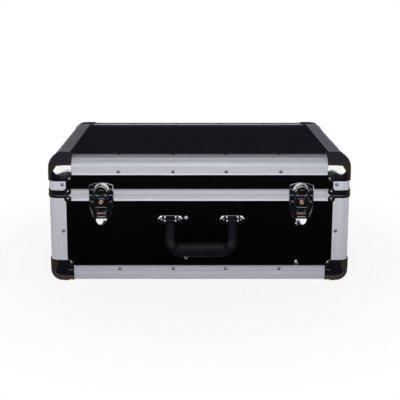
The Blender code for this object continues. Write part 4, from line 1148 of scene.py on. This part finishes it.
def build_hasp(side, centre):
    """The hasp: an arched cover over the catch, with a domed rim, a lock housing and two arms."""
    climb = HASP_BOTTOM - BAR_Z
    near, far = HASP_OUT, HASP_OUT + HASP_WALL * 0.9
    arm = [
        (-EYE_RADIUS * 0.6, EYE_RADIUS * 0.6), (EYE_RADIUS * 0.9, 0), (far, climb - EYE_RADIUS),
        (far, climb + EYE_RADIUS), (near + HASP_WALL * 0.1, climb + EYE_RADIUS), (near, climb - EYE_RADIUS / 2),
    ]
    inner, outer = (ARM_SPREAD - ARM_WIDTH) / 2, (ARM_SPREAD + ARM_WIDTH) / 2
    mesh = with_sides(hasp_cover(), arm, inner + GAP, outer - GAP, PIVOT_OUT, BAR_Z)
    mesh = with_sides(mesh, arc((0, 0), EYE_RADIUS, 0, 345, 23), inner, outer, PIVOT_OUT, BAR_Z)
    mesh = cut(mesh, axle_mesh((0, FRONT - PIVOT_OUT, BAR_Z), HASP_WIDTH, PIN_RADIUS + GAP))
    name = f"latch_hasp_{side}"
    add_fitting(name, "pressed", shifted(mesh, centre), name)
    face = FRONT - COVER_OUT - HASP_WALL + RIDGE_SUNK
    level = [(x, face, HASP_BOTTOM + RIDGE_UP) for x in (-RIDGE_HALF, RIDGE_HALF)]
    ridges = [dome_mesh(), bead_mesh(level, RIDGE_RADIUS)]
    for x in (-SIDE_RIDGE_X, SIDE_RIDGE_X):
        ridges.append(bead_mesh([(x, face, z) for z in SIDE_RIDGE_ENDS], SIDE_RIDGE_RADIUS))
    add_piece(f"{name}_ridges", shifted(gather(ridges), centre), FITTING, name, angle=50)


def build_key(side, centre):
    """The lock's round plug, with its keyway."""
    front = FRONT - COVER_OUT - HASP_WALL - KEY_HOUSING_OUT - GAP
    low = KEY_LENGTH - KEY_LIP * 0.38
    profile = [(0, 0), (KEY_RADIUS, 0), (KEY_RADIUS, low), (KEY_RADIUS - KEY_LIP, KEY_LENGTH)]
    profile += [(KEY_RADIUS - KEY_LIP * 1.2, KEY_LENGTH), (KEY_RADIUS - KEY_LIP * 2.2, low), (0, low)]
    plug = lathe_mesh(profile, facing((centre, front + KEY_LENGTH, KEY_Z), (0, -1, 0)), 32)
    half_x, half_z = KEYWAY[0] / 2, KEYWAY[1] / 2
    keyway = box_mesh(
        (centre - half_x, front - KEY_LENGTH, KEY_Z - half_z),
        (centre + half_x, front + KEY_LENGTH / 2, KEY_Z + half_z),
    )
    name = f"latch_key_plug_{side}"
    add_piece(f"{name}_turned", cut(plug, keyway), BRASS, f"latch_key_{side}", name, bevel=FITTING_BEVEL)


def handle_path():
    """Stations down one leg, round the bend, along the grip and back up: x, z, angle, share of the grip's section."""
    leg_x, bend = HANDLE_SPREAD / 2, HANDLE_BEND
    straight = HANDLE_DROP - bend
    drops = [LEG_START + (1 - LEG_START) * step / 12 for step in range(13)]
    stations = [(-leg_x, -straight * drop, -90.0, 0.0) for drop in drops]
    around = arc((bend - leg_x, -straight), bend, 180, 270)[1:-1]
    shares = [BEND_SHARE * step / 7 for step in range(1, 8)] + SLEEVE_SHARES
    for step, ((x, z), share) in enumerate(zip(around, shares), 1):
        stations.append((x, z, 90 * step / 12 - 90, share))
    for place in GRIP_PLACES:
        stations.append((place * (leg_x - bend), -HANDLE_DROP, 0.0, 1.0 - GRIP_TAPER * place**2))
    mirrored = [(-x, z, -angle, share) for x, z, angle, share in reversed(stations)]
    return stations + [(0.0, -HANDLE_DROP, 0.0, 1.0)] + mirrored


def handle_ring(x, z, angle, share):
    """Points round the handle at a station, with ribs where it is a leg."""
    width = LEG_WIDTH + (GRIP_HEIGHT - LEG_WIDTH) * share
    thick = LEG_THICK + (GRIP_THICK - LEG_THICK) * share
    ribbed = max(0.0, 1.0 - share / RIBS_END)
    turn = math.radians(angle)
    ring = []
    for cosine, sine in circle(1, HANDLE_SIDES):
        across = width / 2 * math.copysign(abs(cosine) ** HANDLE_ROUNDING, cosine)
        outward = thick / 2 * math.copysign(abs(sine) ** HANDLE_ROUNDING, sine)
        if abs(sine) > RIBS_EDGE:
            groove = RIB_DEPTH * ribbed * (0.5 - 0.5 * math.cos(across / width * 4 * math.tau))
            outward -= math.copysign(groove, outward)
        ring.append((x - across * math.sin(turn), -GRIP_OUT * share - outward, z + across * math.cos(turn)))
    return ring


def build_handle():
    """The drop handle: two ribbed legs with a barrel on each pin, and a bulged sleeve for the grip."""
    mesh = loft_mesh([handle_ring(*station) for station in handle_path()])
    for middle in (-HANDLE_SPREAD / 2, HANDLE_SPREAD / 2):
        mesh = union(mesh, axle_mesh((middle, 0, 0), LEG_WIDTH / 2, BARREL_RADIUS, 32))
        mesh = cut(mesh, axle_mesh((middle, 0, 0), LEG_WIDTH, HANDLE_PIN + GAP, 20))
    mesh = shifted(mesh, FITTING_OFFSET, FRONT + SKIN - HANDLE_OUT, HANDLE_Z)
    add_piece("handle_moulded", mesh, PLASTIC, "handle", "handle", 50)


def pad_outline(half_x, half_z):
    """A slot's outline, with extra points along its straight sides."""
    straight = half_x - half_z
    points = arc((straight, 0), half_z, -90, 90, 16)
    points += [(straight * (1 - step / 8), half_z) for step in range(1, 16)]
    return points + [(-x, -z) for x, z in points]


def domed_pad(half_x, half_z):
    """A pressed pad with round ends on the front panel, domed in rings of (distance in, height)."""
    near, far = PAD_EYE
    rings = []
    for inset, height in PAD_RINGS:
        ring = []
        for x, z in pad_outline(half_x - inset, half_z - inset):
            share = min(1.0, max(0.0, (abs(x) - near) / (far - near)))
            raised = height * share + min(height, PAD_WAIST) * (1 - share)
            ring.append((x, FRONT + SKIN - GAP - raised, HANDLE_Z + z))
        rings.append(ring)
    return loft_mesh(rings)


def build_handle_brackets():
    """Two chrome brackets on the front panel, each with two lugs, the handle's pin and two screws."""
    pivot_out = HANDLE_OUT - SKIN
    inner = LEG_WIDTH / 2 + RUNNING_GAP
    half, reach = BARREL_RADIUS * 0.9, HANDLE_OUT - GAP - HANDLE_PLATE / 2
    lug = arc((0, 0), half, -90, 90, 16) + [(-reach, half), (-reach, -half)]
    for side, sign in (("left", -1), ("right", 1)):
        centre = FITTING_OFFSET + sign * HANDLE_SPREAD / 2
        mesh = domed_pad(BRACKET_WIDTH / 2, BRACKET_HEIGHT / 2)
        mesh = with_sides(mesh, lug, inner, inner + HANDLE_LUG, pivot_out, HANDLE_Z)
        pin = axle_mesh((0, FRONT - pivot_out, HANDLE_Z), inner + HANDLE_LUG / 2, HANDLE_PIN, 20)
        add_fitting(f"handle_bracket_{side}", "pressed", shifted(union(mesh, pin), centre), "base", 26, PAD_BEVEL)
        face = FRONT + SKIN - GAP - PAD_WAIST
        places = [((centre + x, face, HANDLE_Z), (0, -1, 0)) for x in (-PAD_SCREW_X, PAD_SCREW_X)]
        add_heads(f"handle_screws_{side}", screw_mesh(*BRACKET_SCREW), places, "base")


def build_hinge_rivets():
    """Small rivets through both leaves of the back hinge."""
    for body, height in (("base", -HINGE_RIVET_Z), ("lid", HINGE_RIVET_Z)):
        places = [((x, BACK + GAP + HINGE_LEAF, PARTING + height), (0, 1, 0)) for x in HINGE_RIVETS_X]
        add_heads(f"hinge_{body}_rivets", rivet_mesh(*HINGE_RIVET), places, body)


def finish_node(name, outward, *materials):
    """Give a CAD node its first material where it looks a way, and its last one elsewhere."""
    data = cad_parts[name].data
    data.materials.clear()
    for material in materials:
        data.materials.append(material)
    for polygon in data.polygons:
        polygon.material_index = 0 if polygon.normal.dot(outward) > 0.5 else len(materials) - 1


def finish_cad_nodes():
    """Materials for the CAD nodes that stay: panels laminated outside and bare inside, the insert and the hinge."""
    # The lid's top panel takes the lighter laminate, which is painted light on the top
    for body, level, up, laminate in (("base", "floor", -1, LAMINATE), ("lid", "top", 1, LIT_TOP_LAMINATE)):
        finish_node(f"{body}_{level}_panel", (0, 0, up), laminate, PLY)
        for side, outward in SIDES.items():
            finish_node(f"{body}_{side}_panel", outward, LAMINATE, PLY)
    for name, material in (("divider_insert", PLY), ("hinge_base_leaf", STEEL), ("hinge_lid_leaf", STEEL)):
        finish_node(name, (0, 0, 0), material)


def build_floor():
    """A plain pale floor under the case."""
    bm = bmesh.new()
    bmesh.ops.create_circle(bm, cap_ends=True, segments=96, radius=FLOOR_RADIUS)
    mesh = finish_mesh(bm)
    mesh.materials.append(FLOOR)
    floor = add_object("floor", mesh)
    floor.location.z = FLOOR_Z


def card_material(name, colour=WHITE[:3]):
    """A flat card for the metal to reflect."""
    material = bpy.data.materials.new(name)
    material.use_nodes = True
    tree = material.node_tree
    tree.nodes.remove(tree.nodes["Principled BSDF"])
    fill(tree, tree.nodes["Material Output"], Surface=node(tree, "Emission", "Emission", Color=(*colour, 1.0)))
    return material


def softbox_material():
    """A white softbox that fades to blue-grey at its top and sides."""
    material = card_material("card_softbox")
    tree = material.node_tree
    place = tree.nodes.new("ShaderNodeSeparateXYZ")
    fill(tree, place, Vector=node(tree, "TexCoord", "Object"))
    x, _, z = place.outputs
    left = range_from(tree, x, SOFTBOX_LEFT, SOFTBOX_LEFT + SOFTBOX_FADE, 1.0, 0.0)
    right = range_from(tree, x, SOFTBOX_RIGHT - SOFTBOX_FADE, SOFTBOX_RIGHT, 0.0, 1.0)
    top = range_from(tree, z, SOFTBOX_MIDDLE, SOFTBOX_HIGH, 0.0, 1.0)
    fade = maths(tree, "MAXIMUM", maths(tree, "MAXIMUM", left, right), top)
    colour = ramp_from(tree, fade, (0.0, WHITE[:3]), (0.5, (0.42, 0.45, 0.56)), (1.0, (0.05, 0.05, 0.07)))
    fill(tree, tree.nodes["Emission"], Color=colour)
    return material


def add_card(name, material, *corners):
    """A four-sided studio card that only reflections see."""
    mesh = bpy.data.meshes.new(name)
    mesh.from_pydata(corners, [], [(0, 1, 2, 3)])
    mesh.materials.append(material)
    card = add_object(name, mesh)
    with_settings(
        card, visible_camera=False, visible_diffuse=False, visible_transmission=False,
        visible_volume_scatter=False, visible_shadow=False,
    )


def build_cards():
    """Dark cards and a softbox round the case, which only the metal's reflections see."""
    dark = card_material("card_dark", (0.006, 0.006, 0.008))
    brown = card_material("card_brown", (0.030, 0.022, 0.018))
    warm = card_material("card_warm_brown", (0.050, 0.037, 0.032))
    blue = card_material("card_blue_grey", (0.022, 0.020, 0.027))
    reach, tall = CARD_REACH, CARD_HEIGHT
    left, right, back = LEFT + FOOT_UNDER, RIGHT - FOOT_UNDER, BACK - FOOT_UNDER
    front, close, near = FRONT - FOOT_GAP, FRONT - FOOT_CLOSE, FRONT - FOOT_NEAR
    near_left, near_right = LEFT - FOOT_WIDER, RIGHT + FOOT_WIDER
    for name, material, start, end, low, high in (
        ("front", brown, (-reach, -reach), (reach, -reach), 0, tall),
        ("left", brown, (-reach, -reach), (-reach, reach), 0, tall),
        ("right", brown, (reach, -reach), (reach, reach), 0, tall),
        ("back", blue, (-reach, reach), (reach, reach), BACK_LOW, tall),
        ("front_low", card_material("card_white"), (FOOT_LEFT, STRIP_Y), (FOOT_RIGHT, STRIP_Y), 0, STRIP_HIGH),
        ("softbox", softbox_material(), (SOFTBOX_LEFT, SOFTBOX_Y), (SOFTBOX_RIGHT, SOFTBOX_Y),
         SOFTBOX_LOW, SOFTBOX_HIGH),
    ):
        add_card(f"card_{name}", material, (*start, low), (*end, low), (*end, high), (*start, high))
    for name, material, x_low, x_high, y_low, y_high in (
        ("top", blue, -reach, reach, -reach, reach),
        ("foot_close", warm, near_left, near_right, close, front),
        ("foot_near", dark, near_left, near_right, near, close),
        ("foot_near_left", brown, FOOT_LEFT, near_left, near, front),
        ("foot_near_right", brown, near_right, FOOT_RIGHT, near, front),
        ("foot_far", dark, FOOT_LEFT, FOOT_RIGHT, FRONT - FOOT_FRONT, near),
        ("floor_front_left", brown, -reach, FOOT_LEFT, -reach, front),
        ("floor_front_right", brown, FOOT_RIGHT, reach, -reach, front),
        ("floor_left", brown, -reach, left, front, back),
        ("floor_right", brown, right, reach, front, back),
        ("floor_back", brown, -reach, reach, back, reach),
    ):
        height = tall if name == "top" else FOOT_HEIGHT
        run = ((x_low, y_low), (x_high, y_low), (x_high, y_high), (x_low, y_high))
        add_card(f"card_{name}", material, *[(x, y, height) for x, y in run])


def build_light():
    """Soft lamps that mirrors don't see, and a world that is white where it is seen and plain grey where it lights."""
    for name, place, width, height, power in LAMPS:
        light = bpy.data.lights.new(name, "AREA")
        with_settings(light, shape="RECTANGLE", size=width, size_y=height, energy=power)
        turn = (Vector(LAMP_AIM) - Vector(place)).to_track_quat("-Z", "Y").to_euler()
        lamp = add_object(name, light)
        with_settings(lamp, location=place, rotation_euler=turn, visible_camera=False, visible_glossy=False)
    world = bpy.data.worlds.new("studio_world")
    bpy.context.scene.world = world
    world.use_nodes = True
    tree = world.node_tree
    plain = tree.nodes["Background"]
    fill(tree, plain, Color=WORLD_GREY, Strength=1.0)
    white = node(tree, "Background", "Background", Color=WHITE, Strength=1.0)
    mix_surface(tree, "World Output", seen_directly(tree), plain.outputs["Background"], white)


def build_camera():
    """The camera: in front of the case and a little above it, looking down."""
    data = bpy.data.cameras.new("camera")
    with_settings(data, sensor_width=36.0, lens=CAMERA_LENS, shift_x=CAMERA_SHIFT[0], shift_y=CAMERA_SHIFT[1])
    data.dof.use_dof = False
    camera = add_object("camera", data)
    with_settings(camera, location=CAMERA_PLACE, rotation_euler=(math.radians(90 - CAMERA_TILT), 0, 0))
    bpy.context.scene.camera = camera


build_rails()
build_rims()
build_corners()
build_brackets()
build_rivets()
build_screws()
for latch_side, latch_centre in LATCH_PLACES.items():
    for build in (build_catch, build_latch_base, build_lever, build_hasp, build_key):
        build(latch_side, latch_centre)
build_handle()
build_handle_brackets()
build_hinge_rivets()
finish_cad_nodes()
build_floor()
build_cards()
build_light()
build_camera()
bpy.context.scene.view_settings.view_transform = "Standard"
